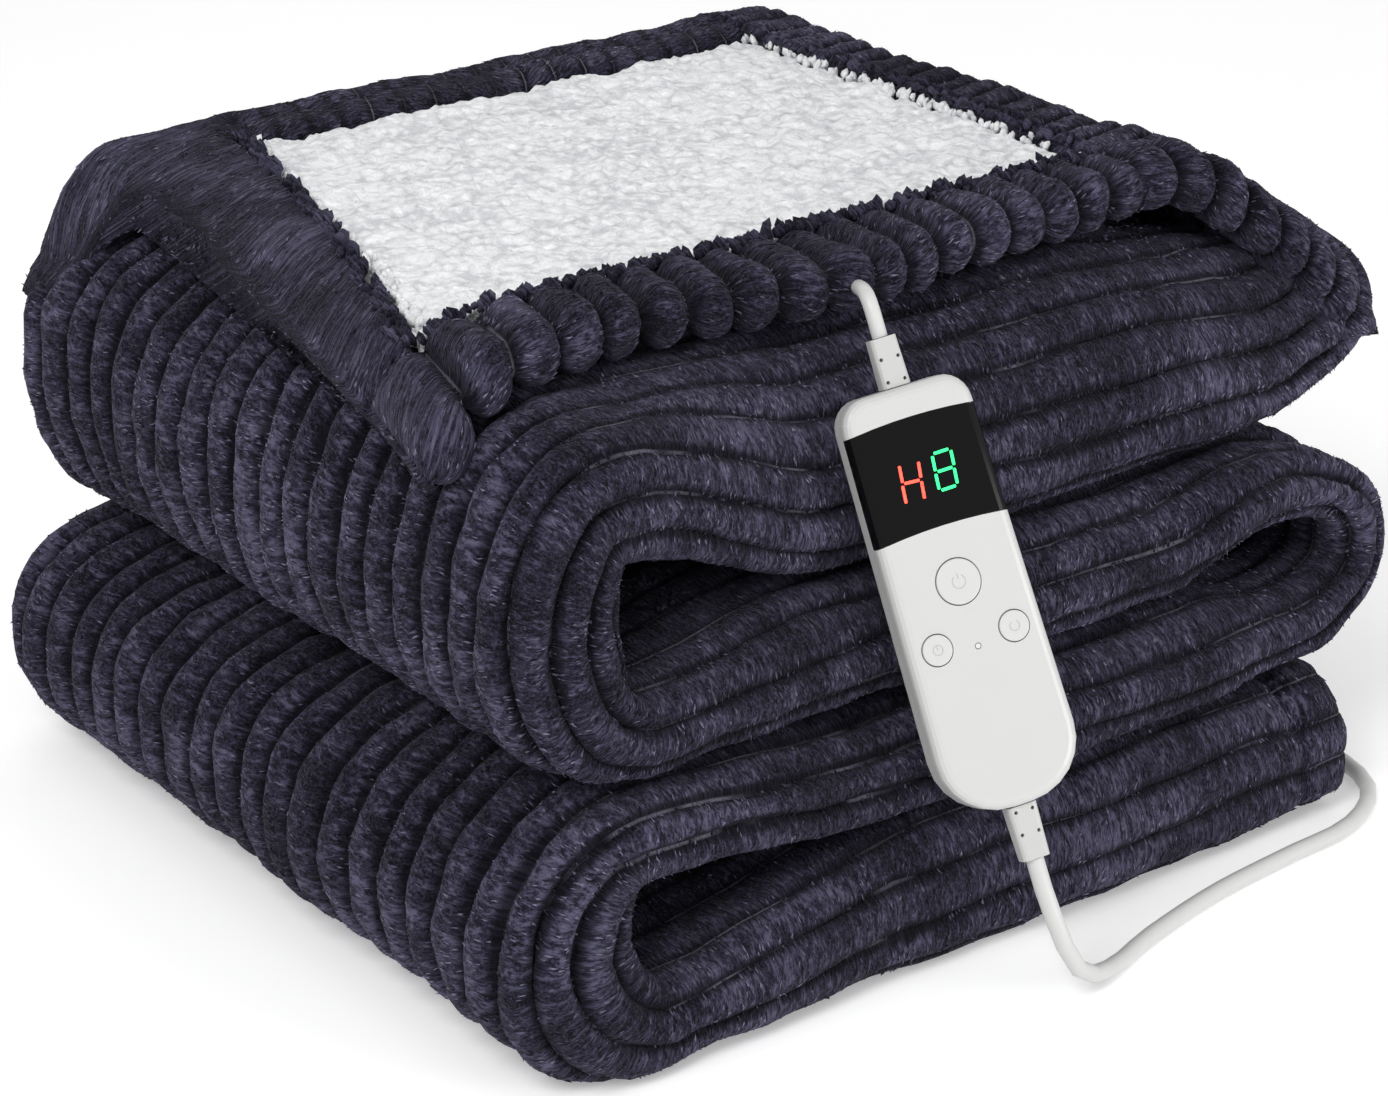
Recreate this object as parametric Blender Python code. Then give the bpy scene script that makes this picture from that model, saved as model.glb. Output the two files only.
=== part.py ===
"""Folded electric heated blanket with its hand controller and its mains lead.

The cloth is one back-and-forth section: four thick layers, three big folds and a top flap that is
turned back, so that the white pile of its other side shows. Metres, +Z up. The blanket rests on
z = 0 with the origin under the middle of the part. X runs along the layers and Y across them.
"""
import math
from collections import namedtuple

import bmesh
import bpy
from mathutils import Matrix, Vector

# ---- driving dimensions -------------------------------------------------------------------

# The stack is laid out from its near bottom corner, which stands here.
CORNER = Vector((-0.2138, -0.1744, 0.0))

GAP = 0.0003                 # between pieces that touch
BACK_Y = 0.395               # far side of the stack
BACK_ROUND = 0.026           # reach of the rounding along the far side

# Ribs of the plush, which run along the layers and round the folds.
RIB_COUNT = 44
RIB_DEPTH = 0.0065
RIB_WANDER = 0.0015          # how far a rib strays sideways on its way round a fold
PRESSED = 0.30               # what is left of a rib's depth between two layers
RIB_START = 0.215            # y at which the ribs are counted from

# The four layers, from the floor up. Front is the foremost y of the layer's side, rise is how
# far its upper edge lies behind that, and chin is the height of the foremost line, as a share.
Layer = namedtuple("Layer", "low high front rise chin")
LAYERS = [
    Layer(low=0.0000, high=0.0590, front=-0.010, rise=0.028, chin=0.24),
    Layer(low=0.0620, high=0.1030, front=0.001, rise=0.050, chin=0.25),
    Layer(low=0.1060, high=0.1500, front=0.018, rise=0.050, chin=0.25),
    Layer(low=0.1530, high=0.2370, front=0.038, rise=0.080, chin=0.20),
]
UNDER_REACH = 0.014          # rounding below a layer's foremost line
ARM_AT = (0.15, 0.30)        # between these a layer has its full thickness

# The folds that join them. Tip is the outermost x, start is where the round begins, and the
# cloth is ply thick where it enters the fold and ply_out thick where it leaves it. Square is 1
# for an ellipse and less for a boxier round, droop lowers its upper half, pinch is the share of
# the thickness lost at the tip, and out_open is what is left of the ribs' depth where the cloth
# leaves.
Fold = namedtuple(
    "Fold", "side low high tip start ply ply_out front front_out square droop pinch out_open")
FOLDS = [
    Fold(-1, low=0.0000, high=0.1030, tip=-0.037, start=0.028, ply=0.034, ply_out=0.034,
         front=-0.012, front_out=0.002, square=0.86, droop=0.0, pinch=0.0,
         out_open=PRESSED),
    Fold(1, low=0.0620, high=0.1500, tip=0.424, start=0.362, ply=0.028, ply_out=0.028,
         front=0.006, front_out=0.018, square=0.90, droop=0.0, pinch=0.0,
         out_open=PRESSED),
    Fold(-1, low=0.1060, high=0.2360, tip=-0.022, start=0.038, ply=0.038, ply_out=0.050,
         front=0.012, front_out=0.026, square=0.86, droop=0.0, pinch=0.0,
         out_open=PRESSED),
    Fold(1, low=0.1530, high=0.2620, tip=0.466, start=0.372, ply=0.032, ply_out=0.022,
         front=0.042, front_out=0.088, square=1.0, droop=0.046, pinch=0.35,
         out_open=0.6),
]

# The right-hand folds reach less far out the farther back they are: share of it left at a y.
Reach = namedtuple("Reach", "y share")
FOLD_SPREAD = [
    Reach(y=0.080, share=1.00),
    Reach(y=0.150, share=0.80),
    Reach(y=0.395, share=0.66),
]
SPREAD_X = 0.3550
FOLD_STEPS = 6
FOLD_REACH = 0.017           # rounding of a fold's near edge

# The bottom layer's own sewn end: a bulging hem behind a stitched groove.
HemRow = namedtuple("HemRow", "x low high inset ribs")
HEM = [
    HemRow(x=0.3820, low=0.012, high=0.048, inset=0.008, ribs=0.2),
    HemRow(x=0.3770, low=0.003, high=0.058, inset=0.001, ribs=0.6),
    HemRow(x=0.3630, low=0.000, high=0.060, inset=0.000, ribs=1.0),
    HemRow(x=0.3550, low=0.000, high=0.054, inset=0.003, ribs=0.6),
    HemRow(x=0.3490, low=0.000, high=0.059, inset=0.000, ribs=1.0),
]

# The flap that is turned back over the top layer.
FLAP_LOW = 0.2400
FLAP_SEAT = 0.2500           # the side under the white pile
FLAP_TOP = 0.2620            # the border around it
FLAP_RIGHT = 0.344
FLAP_BACK = 0.389
HEM_LIFT = 0.0052            # the front border's underside above the rest of the flap's
BORDER_BUMPS = 17            # fat ribs across the front border
BUMP_RINGS = 3               # sections for each of them
BUMP_DEPTH = 0.0070
ROLL_X = 0.034               # from here the flap rolls down over the left fold
ROLL_RADIUS = 0.0640
WINDOW_NEAR = 0.121          # the window of white pile, in y
WINDOW_FAR = 0.352
PILE_THICK = 0.0070
PILE_GAP = 0.0009
PILE_MARGIN = 0.20           # the pile stops this share of a step inside its window's sides
PILE_INSET = 0.03            # and this share of a step inside its front and back

# Section of the flap, the same way round as the cloth's sections. Each point lies ahead of a
# line across the flap, at a share of the way from a level up to the top, and a bit over that.
# Bump_out and bump_up are the shares of a bump's depth that it moves forwards and upwards.
ProfilePoint = namedtuple("ProfilePoint", "line ahead level share over bump_out bump_up",
                          defaults=[0.0, 0.0, 0.0, 0.0])
FLAP_PROFILE = [
    ProfilePoint("ribs", 0.000, "low"),
    ProfilePoint("ribs", -0.055, "low"),
    ProfilePoint("near", -0.008, "low"),
    ProfilePoint("front", 0.014, "hem", bump_up=-0.6),
    ProfilePoint("front", 0.004, "hem", share=0.16, bump_out=0.6, bump_up=-0.6),
    ProfilePoint("front", 0.000, "hem", share=0.50, bump_out=1.0),
    ProfilePoint("front", 0.006, "hem", share=0.84, bump_out=0.6, bump_up=0.6),
    ProfilePoint("front", 0.016, "hem", share=1.00, bump_up=0.5),
    ProfilePoint("near", -0.005, "hem", share=1.00, over=-0.002),
    ProfilePoint("near", 0.000, "seat"),
    ProfilePoint("near", 0.059, "seat"),
    ProfilePoint("near", 0.114, "seat"),
    ProfilePoint("near", 0.174, "seat"),
    ProfilePoint("far", 0.000, "seat"),
    ProfilePoint("far", 0.004, "low", share=1.00, over=-0.001),
    ProfilePoint("far", 0.021, "low", share=1.00),
    ProfilePoint("back", -0.005, "low", share=1.00, over=-0.004),
    ProfilePoint("back", 0.000, "low", share=0.50),
    ProfilePoint("back", -0.006, "low", over=0.002),
    ProfilePoint("far", -0.007, "low"),
    ProfilePoint("far", -0.072, "low"),
]
SEAT_FIRST = 9               # where the profile's seat begins and ends
SEAT_LAST = 13
FLAP_THIN = 0.006            # how much thinner each side of the flap is at its left edge
FRONT_AT = 0.09              # y at which a column of the front border is placed along x
CREST = 0.5                  # a bump stands this share of its depth out, and its grooves go in

# The window's left side and the flap's outer edge, as x at some depths.
Skew = namedtuple("Skew", "y window edge")
SKEW = [
    Skew(y=0.060, window=0.004, edge=-0.023),
    Skew(y=0.120, window=0.014, edge=-0.011),
    Skew(y=0.200, window=0.034, edge=0.002),
    Skew(y=0.310, window=0.064, edge=0.018),
    Skew(y=0.350, window=0.075, edge=0.015),
    Skew(y=0.389, window=0.086, edge=0.006),
]
BORDER_STEPS = (0.07, 0.28, 0.50, 0.72, 0.92, 1.0)

# How far the front border reaches forward, at some x.
Front = namedtuple("Front", "x y")
FLAP_FRONT = [
    Front(x=-0.030, y=0.064),
    Front(x=0.020, y=0.080),
    Front(x=0.080, y=0.090),
    Front(x=0.344, y=0.090),
]

# Controller, measured in its own plane: x across, y up, z out of its face.
CASE_WIDTH = 0.0546          # halfway along it
CASE_TAPER = 0.0029          # wider than that at the foot, narrower at the lead's end
CASE_LENGTH = 0.1630
CASE_FRONT = 0.0110          # thickness of the front shell
CASE_BACK = 0.0067
CASE_THICK = CASE_FRONT + CASE_BACK + GAP
CASE_TOP_RADIUS = 0.0110
CASE_FOOT_RADIUS = 0.0240
CASE_EDGE = 0.0040           # rounding of the shells' outer edges
CASE_LEAN = math.radians(24.0)
CASE_YAW = math.radians(-22.0)
CASE_TURN = math.radians(10.9)
CASE_PLACE = Vector((0.1728, 0.0117, 0.1466))   # middle of its back, in the stack's layout

DISPLAY_LOW = 0.0260         # lower and upper edges of the display, above the case's middle
DISPLAY_HIGH = 0.0678
DISPLAY_ARCH = 0.0018        # how much its edges bow up
DISPLAY_THICK = 0.0062
CUT_OVER = 0.0040            # how far a cutter runs out past the faces

KEY_CLEARANCE = 0.0004
KEY_WELL = 0.0032
KEY_FLOAT = 0.0009           # room under a key
KEY_PROUD = 0.0007
KEY_EDGE = 0.0005
Key = namedtuple("Key", "name x y radius steps")
KEYS = [
    Key(name="key_power", x=-0.0006, y=0.0058, radius=0.0087, steps=40),
    Key(name="key_timer", x=-0.0160, y=-0.0163, radius=0.0059, steps=28),
    Key(name="key_level", x=0.0154, y=-0.0163, radius=0.0059, steps=28),
]
LAMP_X = -0.0003
LAMP_Y = -0.0194
LAMP_RADIUS = 0.0010
LAMP_DEPTH = 0.0020

Relief = namedtuple("Relief", "name up length wide_in wide_out thick_in thick_out")
RELIEFS = [
    Relief("relief_upper", up=1, length=0.0190, wide_in=0.0112, wide_out=0.0106,
           thick_in=0.0096, thick_out=0.0086),
    Relief("relief_lower", up=-1, length=0.0210, wide_in=0.0120, wide_out=0.0110,
           thick_in=0.0100, thick_out=0.0090),
]
RELIEF_CORNER = 0.0022
RELIEF_HOLE = 0.00075
RELIEF_HOLE_DEPTH = 0.0030
RELIEF_HOLES = ((-0.0034, 0.0022), (0.0034, 0.0022), (-0.0034, 0.0110), (0.0034, 0.0110))

# Leads, by the middle of the cord, in the stack's layout. Each starts at its strain relief.
LOW_LEAD = 0.0060
MAINS_LEAD = 0.0070
LEAD_STEP = 2.2              # between points along a lead, in diameters
LEAD_REST = MAINS_LEAD / 2 + 0.0001
LEAD_STRAIGHT = 0.0135       # straight run out of a strain relief
LOW_ROUTE = [
    (0.1700, 0.0640, 0.2590), (0.1760, 0.0730, 0.2580), (0.1830, 0.0800, 0.2520),
    (0.1885, 0.0870, 0.2446), (0.1930, 0.0945, 0.2402), (0.1980, 0.1040, 0.2387),
]
MAINS_ROUTE = [
    (0.1760, -0.0575, 0.0240), (0.1860, -0.0585, 0.0110),
    (0.2070, -0.0520, 0.0044), (0.2350, -0.0425, LEAD_REST), (0.2800, -0.0330, LEAD_REST),
    (0.3250, -0.0285, LEAD_REST), (0.3650, -0.0250, LEAD_REST), (0.3960, -0.0060, LEAD_REST),
    (0.4070, 0.0300, LEAD_REST), (0.4060, 0.0800, LEAD_REST), (0.4040, 0.1400, LEAD_REST),
    (0.4050, 0.2100, LEAD_REST), (0.4040, 0.2800, LEAD_REST), (0.4040, 0.3400, LEAD_REST),
    (0.4040, 0.3880, 0.0042), (0.4040, 0.4233, 0.0054),
]

# Coil of the lead's unseen length, behind the stack.
COIL_CENTRE = Vector((0.3620, 0.4480, 0.0))
COIL_RADIUS = 0.0385         # at the middle of its turns
COIL_ACROSS = 2              # turns side by side
COIL_UP = 3                  # turns on each other
COIL_LIFT = 0.0019
COIL_STEPS = 36
TIE_THICK = 0.0012
TIE_ROOM = 0.0006
TIE_LENGTH = 0.0080
TIE_PLACE = math.radians(-60.0)

# Plug on the lead's far end, along its own axis from the sleeve.
PlugRow = namedtuple("PlugRow", "along wide thick")
PLUG = [
    PlugRow(along=0.0000, wide=0.0090, thick=0.0090),
    PlugRow(along=0.0180, wide=0.0110, thick=0.0108),
    PlugRow(along=0.0215, wide=0.0190, thick=0.0135),
    PlugRow(along=0.0300, wide=0.0230, thick=0.0150),
    PlugRow(along=0.0440, wide=0.0240, thick=0.0155),
    PlugRow(along=0.0470, wide=0.0226, thick=0.0142),
]
PLUG_CORNER = 0.0035
PLUG_START = 0.0257          # from the coil's tangent point
PLUG_PLACE = math.radians(90.0)
PIN_WIDE = 0.0063
PIN_THICK = 0.0015
PIN_LENGTH = 0.0170
PIN_APART = 0.0127

# ---- materials and small helpers ----------------------------------------------------------


def finish(name, colour, roughness, metallic=0.0):
    material = bpy.data.materials.new(name)
    material.use_nodes = True
    shader = material.node_tree.nodes["Principled BSDF"]
    shader.inputs["Base Color"].default_value = (*colour, 1.0)
    shader.inputs["Roughness"].default_value = roughness
    shader.inputs["Metallic"].default_value = metallic
    material.diffuse_color = (*colour, 1.0)
    return material


def add_object(name, bm, material, parent=None):
    mesh = bpy.data.meshes.new(name)
    bm.to_mesh(mesh)
    bm.free()
    thing = bpy.data.objects.new(name, mesh)
    bpy.context.scene.collection.objects.link(thing)
    if material is not None:
        mesh.materials.append(material)
    thing.parent = parent
    return thing


def shade(thing, angle=40.0):
    thing.data.shade_smooth()
    thing.data.set_sharp_from_angle(angle=math.radians(angle))


def lerp(a, b, t):
    return a + (b - a) * t


def read_table(rows, at, value, where):
    """Value of a column between the rows of a short table."""
    if where <= getattr(rows[0], at):
        return getattr(rows[0], value)
    for low, high in zip(rows, rows[1:]):
        start, end = getattr(low, at), getattr(high, at)
        if where <= end:
            return lerp(getattr(low, value), getattr(high, value), (where - start) / (end - start))
    return getattr(rows[-1], value)


# ---- folded cloth -------------------------------------------------------------------------

# A station is one cross-section of the cloth. Left and right are as seen when walking along it
# from the sewn end, so left is outside at a left-hand fold and right at a right-hand one.
Station = namedtuple("Station", "x z head thick front back reach_left reach_right chin "
                     "open_left open_right ribs", defaults=[1.0])


def layer_station(index, x, low=None, high=None, inset=0.0, ribs=1.0):
    layer = LAYERS[index]
    low = layer.low if low is None else low
    high = layer.high if high is None else high
    to_left = index % 2 == 0
    below = 0.0 if index == 0 else PRESSED
    reach = (UNDER_REACH, layer.rise) if to_left else (layer.rise, UNDER_REACH)
    sides = (below, PRESSED) if to_left else (PRESSED, below)
    return Station(
        x=x, z=(low + high) / 2, head=Vector((-1, 0, 0)) if to_left else Vector((1, 0, 0)),
        thick=high - low, front=layer.front + inset, back=BACK_Y - inset,
        reach_left=reach[0], reach_right=reach[1],
        chin=layer.chin if to_left else 1.0 - layer.chin,
        open_left=sides[0], open_right=sides[1], ribs=ribs)


def power(value, exponent):
    return math.copysign(abs(value) ** exponent, value)


def fold_stations(fold, lower_open):
    """Half a round of sections, from the fold's lower arm to its upper one."""
    wide = abs(fold.tip - fold.start)
    tall = (fold.high - fold.low) / 2
    middle = (fold.high + fold.low) / 2
    stations = []
    for step in range(FOLD_STEPS + 1):
        share = step / FOLD_STEPS
        across, rise = math.sin(math.pi * share), -math.cos(math.pi * share)
        outer = Vector((fold.start + fold.side * wide * power(across, fold.square), 0,
                        middle + tall * power(rise, fold.square)
                        - fold.droop * across * (1 + rise) / 2))
        out = Vector((fold.side * power(across, 2 - fold.square) / wide, 0,
                      power(rise, 2 - fold.square) / tall)).normalized()
        thick = lerp(fold.ply, fold.ply_out, share) * (1 - fold.pinch * across ** 2)
        centre = outer - out * thick / 2
        head = Vector((-fold.side * out.z, 0, fold.side * out.x))
        arm_open = lower_open if share < 0.5 else fold.out_open
        opened = lerp(arm_open, 1.0, min(1.0, across * 1.6))
        stations.append(Station(
            x=centre.x, z=centre.z, head=head, thick=thick,
            front=lerp(fold.front, fold.front_out, share), back=BACK_Y,
            reach_left=FOLD_REACH, reach_right=FOLD_REACH, chin=0.5,
            open_left=opened if fold.side < 0 else PRESSED,
            open_right=opened if fold.side > 0 else PRESSED))
    return stations


def cloth_stations():
    stations = [layer_station(0, *row) for row in HEM]
    for index, fold in enumerate(FOLDS):
        arm = ARM_AT if index % 2 else ARM_AT[::-1]
        stations += [layer_station(index, x) for x in arm]
        stations += fold_stations(fold, 0.0 if index == 0 else PRESSED)
    return stations


def section_outline(station):
    """Dense outline of a section as (y, height, rib share), once round from RIB_START."""
    half = station.thick / 2
    chin = half - station.chin * station.thick
    arc = [math.radians(a) for a in range(0, 91, 9)]
    points = [(RIB_START, half, station.open_left)]
    for a in arc:
        points.append((station.front + station.reach_left * (1 - math.sin(a)),
                       chin + (half - chin) * math.cos(a),
                       lerp(station.open_left, 1.0, math.sin(a))))
    for a in arc[1:]:
        points.append((station.front + station.reach_right * (1 - math.cos(a)),
                       chin - (chin + half) * math.sin(a),
                       lerp(station.open_right, 1.0, math.cos(a))))
    for a in [math.radians(a) for a in range(-90, 91, 15)]:
        points.append((station.back - BACK_ROUND * (1 - math.cos(a)), half * math.sin(a),
                       lerp(1.0, station.open_left if a > 0 else station.open_right,
                            abs(math.sin(a)))))
    points.append((RIB_START, half, station.open_left))
    return points


def spread(point):
    """Share of a right-hand fold's reach that is left at a point's depth."""
    if point.x < SPREAD_X:
        return 1.0
    return read_table(FOLD_SPREAD, "y", "share", point.y)


def ribbed_ring(station, number):
    """The section's points, two to a rib: the bottom of a groove, then the rib's crest."""
    outline = section_outline(station)
    lengths = [0.0]
    for a, b in zip(outline, outline[1:]):
        lengths.append(lengths[-1] + math.dist(a[:2], b[:2]))
    count = RIB_COUNT * 2
    step = lengths[-1] / count
    left = Vector((-station.head.z, 0, station.head.x))
    ring = []
    piece = 0
    for k in range(count):
        stray = RIB_WANDER * math.sin(0.9 * number + 1.31 * k) * math.sin(0.37 * number + 0.5)
        at = k * step + (stray if 2 < k < count - 2 else 0.0)
        while lengths[piece + 1] < at:
            piece += 1
        a, b = outline[piece], outline[piece + 1]
        t = (at - lengths[piece]) / (lengths[piece + 1] - lengths[piece])
        y, height, share = (lerp(p, q, t) for p, q in zip(a, b))
        along = Vector((b[0] - a[0], b[1] - a[1])).normalized()
        if k % 2 == 0:
            depth = RIB_DEPTH * share * station.ribs
            y -= along.y * depth
            height += along.x * depth
        point = Vector((station.x, y, station.z)) + left * height
        point.x = SPREAD_X + (point.x - SPREAD_X) * spread(point)
        ring.append(CORNER + point)
    return ring


# ---- turned-back flap ---------------------------------------------------------------------


def roll_down(x, y, z):
    """Places a point of the flap, which rolls over the left fold beyond ROLL_X."""
    if x < ROLL_X:
        turn = (ROLL_X - x) / ROLL_RADIUS
        radius = ROLL_RADIUS + z - FLAP_LOW
        x = ROLL_X - radius * math.sin(turn)
        z = FLAP_LOW - ROLL_RADIUS + radius * math.cos(turn)
    return CORNER + Vector((x, y, z))


def flap_profile(front, bump, seat, thin=0.0):
    """Section of the flap as (y, z) for one depth of the front border's bumps."""
    low, top = FLAP_LOW + thin, FLAP_TOP - thin
    lines = {"ribs": RIB_START, "front": front, "near": WINDOW_NEAR, "far": WINDOW_FAR,
             "back": FLAP_BACK}
    levels = {"low": low, "hem": low + HEM_LIFT, "seat": seat}
    fat = BUMP_DEPTH * bump
    return [(lines[p.line] + p.ahead - fat * p.bump_out,
             lerp(levels[p.level], top, p.share) + p.over + fat * p.bump_up)
            for p in FLAP_PROFILE]


def flap_rings():
    rings = []
    steps = BORDER_BUMPS * BUMP_RINGS
    for step in range(steps + 1):
        share = step / steps
        near_x = lerp(FLAP_RIGHT, read_table(SKEW, "y", "window", FRONT_AT), share)
        front = read_table(FLAP_FRONT, "x", "y", near_x)
        profile = flap_profile(front, CREST if step % BUMP_RINGS else -CREST, FLAP_SEAT)
        rings.append([
            roll_down(lerp(FLAP_RIGHT, read_table(SKEW, "y", "window", y), share), y, z)
            for y, z in profile])
    for share in BORDER_STEPS:
        near_x = lerp(read_table(SKEW, "y", "window", FRONT_AT),
                      read_table(SKEW, "y", "edge", FRONT_AT), share)
        front = read_table(FLAP_FRONT, "x", "y", near_x)
        thin = FLAP_THIN if share == 1.0 else 0.0
        profile = flap_profile(front + thin, 0.0, FLAP_TOP - thin, thin)
        rings.append([
            roll_down(lerp(read_table(SKEW, "y", "window", y), read_table(SKEW, "y", "edge", y),
                           share), y, z)
            for y, z in profile])
    return rings


# ---- meshes from rings --------------------------------------------------------------------


def join_rings(bm, ring_a, ring_b):
    count = len(ring_a)
    for k in range(count):
        n = (k + 1) % count
        bm.faces.new((ring_a[k], ring_b[k], ring_b[n], ring_a[n]))


def zip_rings(bm, ring_a, ring_b):
    """Triangles between two rings of unlike counts, paired by the share of the way round."""

    def shares(ring):
        total = [0.0]
        for k in range(len(ring)):
            total.append(total[-1] + (ring[(k + 1) % len(ring)].co - ring[k].co).length)
        return [t / total[-1] for t in total]

    share_a, share_b = shares(ring_a), shares(ring_b)
    i = j = 0
    while i < len(ring_a) or j < len(ring_b):
        a, b = ring_a[i % len(ring_a)], ring_b[j % len(ring_b)]
        step_a = j == len(ring_b) or (i < len(ring_a) and share_a[i + 1] < share_b[j + 1])
        if step_a:
            bm.faces.new((a, b, ring_a[(i + 1) % len(ring_a)]))
            i += 1
        else:
            bm.faces.new((a, b, ring_b[(j + 1) % len(ring_b)]))
            j += 1


def close_ring(bm, ring, foremost, flip):
    """Closes a flat end with a ladder of faces between its two long sides."""
    count = len(ring)
    half = count // 2
    for t in range(half):
        a, b = ring[(foremost - t) % count], ring[(foremost - t - 1) % count]
        c, d = ring[(foremost + t + 1) % count], ring[(foremost + t) % count]
        corners = []
        for vert in (a, b, c, d):
            if vert not in corners:
                corners.append(vert)
        if len(corners) > 2:
            bm.faces.new(corners[::-1] if flip else corners)


def folded_cloth(plush):
    bm = bmesh.new()
    rings = []
    for number, station in enumerate(cloth_stations()):
        rings.append([bm.verts.new(p) for p in ribbed_ring(station, number)])
    for a, b in zip(rings, rings[1:]):
        join_rings(bm, a, b)
    flap = [[bm.verts.new(p) for p in ring] for ring in flap_rings()]
    zip_rings(bm, rings[-1], flap[0])
    for a, b in zip(flap, flap[1:]):
        join_rings(bm, a, b)
    foremost = min(range(len(rings[0])), key=lambda k: rings[0][k].co.y)
    close_ring(bm, rings[0], foremost, flip=True)
    foremost = min(range(len(flap[-1])), key=lambda k: flap[-1][k].co.y)
    close_ring(bm, flap[-1], foremost, flip=False)
    bmesh.ops.recalc_face_normals(bm, faces=bm.faces)
    cloth = add_object("blanket_cloth", bm, plush)
    shade(cloth, 70.0)
    return cloth


def pile_panel(pile):
    """The white pile side, lying in the flap's window."""
    rings = flap_rings()[:BORDER_BUMPS * BUMP_RINGS + 1]

    def seat_row(ring):
        row = ring[SEAT_FIRST:SEAT_LAST + 1]
        row[0] = row[0].lerp(row[1], PILE_INSET)
        row[-1] = row[-1].lerp(row[-2], PILE_INSET)
        return row

    rows = [seat_row(ring) for ring in rings]
    rows[0] = [a.lerp(b, PILE_MARGIN) for a, b in zip(rows[0], rows[1])]
    rows[-1] = [a.lerp(b, PILE_MARGIN) for a, b in zip(rows[-1], rows[-2])]
    bm = bmesh.new()
    centre = CORNER + Vector((ROLL_X, 0, FLAP_LOW - ROLL_RADIUS))

    def raised(point, height):
        out = Vector((min(0.0, point.x - centre.x), 0, point.z - centre.z)).normalized()
        return point + out * height

    loops = []
    for row in rows:
        upper = [bm.verts.new(raised(p, PILE_GAP + PILE_THICK)) for p in row]
        lower = [bm.verts.new(raised(p, PILE_GAP)) for p in reversed(row)]
        loops.append(upper + lower)
    for a, b in zip(loops, loops[1:]):
        join_rings(bm, a, b)
    for loop, flip in ((loops[0], False), (loops[-1], True)):
        half = len(loop) // 2
        for k in range(half - 1):
            corners = (loop[k], loop[k + 1], loop[-2 - k], loop[-1 - k])
            bm.faces.new(corners[::-1] if flip else corners)
    bmesh.ops.recalc_face_normals(bm, faces=bm.faces)
    panel = add_object("pile_panel", bm, pile)
    shade(panel)
    return panel


# ---- controller ---------------------------------------------------------------------------


def case_outline(steps=6):
    """Outline of the case: small corners at the lead's end, wide ones at the foot."""
    half = CASE_WIDTH / 2
    end = CASE_LENGTH / 2
    points = []
    for across, up, radius, start in (
            (1, 1, CASE_TOP_RADIUS, 0), (-1, 1, CASE_TOP_RADIUS, 90),
            (-1, -1, CASE_FOOT_RADIUS, 180), (1, -1, CASE_FOOT_RADIUS, 270)):
        for step in range(steps + 1):
            a = math.radians(start + 90 * step / steps)
            y = up * (end - radius) + radius * math.sin(a)
            taper = 1 - CASE_TAPER / CASE_WIDTH * y / end
            points.append(((across * (half - radius) + radius * math.cos(a)) * taper, y))
    return points


def slab(points, low, high, rounding=0.0, round_low=False, round_high=False, segments=3):
    """An extruded outline whose low or high rim is rounded."""
    bm = bmesh.new()
    base = bm.faces.new([bm.verts.new((x, y, low)) for x, y in points])
    lifted = bmesh.ops.extrude_face_region(bm, geom=[base])
    for vert in (g for g in lifted["geom"] if isinstance(g, bmesh.types.BMVert)):
        vert.co.z = high
    bmesh.ops.recalc_face_normals(bm, faces=bm.faces)
    rims = []
    if round_low:
        rims += [e for e in bm.edges if all(abs(v.co.z - low) < 1e-7 for v in e.verts)]
    if round_high:
        rims += [e for e in bm.edges if all(abs(v.co.z - high) < 1e-7 for v in e.verts)]
    if rims:
        bmesh.ops.bevel(bm, geom=rims, offset=rounding, offset_type="OFFSET", segments=segments,
                        profile=0.5, affect="EDGES", clamp_overlap=True, material=-1)
    return bm


def circle(radius, segments, x=0.0, y=0.0):
    return [(x + radius * math.cos(2 * math.pi * k / segments),
             y + radius * math.sin(2 * math.pi * k / segments)) for k in range(segments)]


def display_outline(low, high, steps=8):
    """A band across the whole case whose lower and upper edges bow up."""
    reach = CASE_WIDTH / 2 + CUT_OVER
    lower = []
    for step in range(steps + 1):
        x = lerp(-reach, reach, step / steps)
        lower.append((x, low + DISPLAY_ARCH * (1 - (2 * x / CASE_WIDTH) ** 2)))
    return lower + [(x, y + high - low) for x, y in reversed(lower)]


def cut(thing, name, bm, parent, operation="DIFFERENCE"):
    """Takes a hidden cutter's shape out of a piece, or keeps only what it shares with it."""
    cutter = add_object("cutter_" + name, bm, None, parent)
    cutter.hide_render = True
    cutter.display_type = "WIRE"
    boolean = thing.modifiers.new(name, "BOOLEAN")
    boolean.operation = operation
    boolean.solver = "EXACT"
    boolean.object = cutter


def case_pose():
    """Where the case rests: leaning on the layers, turned to the side and in its own plane."""
    yaw = Matrix.Rotation(CASE_YAW, 4, "Z")
    lean = Matrix.Rotation(math.radians(90.0) - CASE_LEAN, 4, "X")
    turn = Matrix.Rotation(CASE_TURN, 4, "Z")
    return Matrix.Translation(CORNER + CASE_PLACE) @ yaw @ lean @ turn


def front_shell(name, material, mount):
    return add_object(name, slab(case_outline(), CASE_BACK + GAP, CASE_THICK, CASE_EDGE,
                                 round_high=True, segments=4), material, mount)


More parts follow.
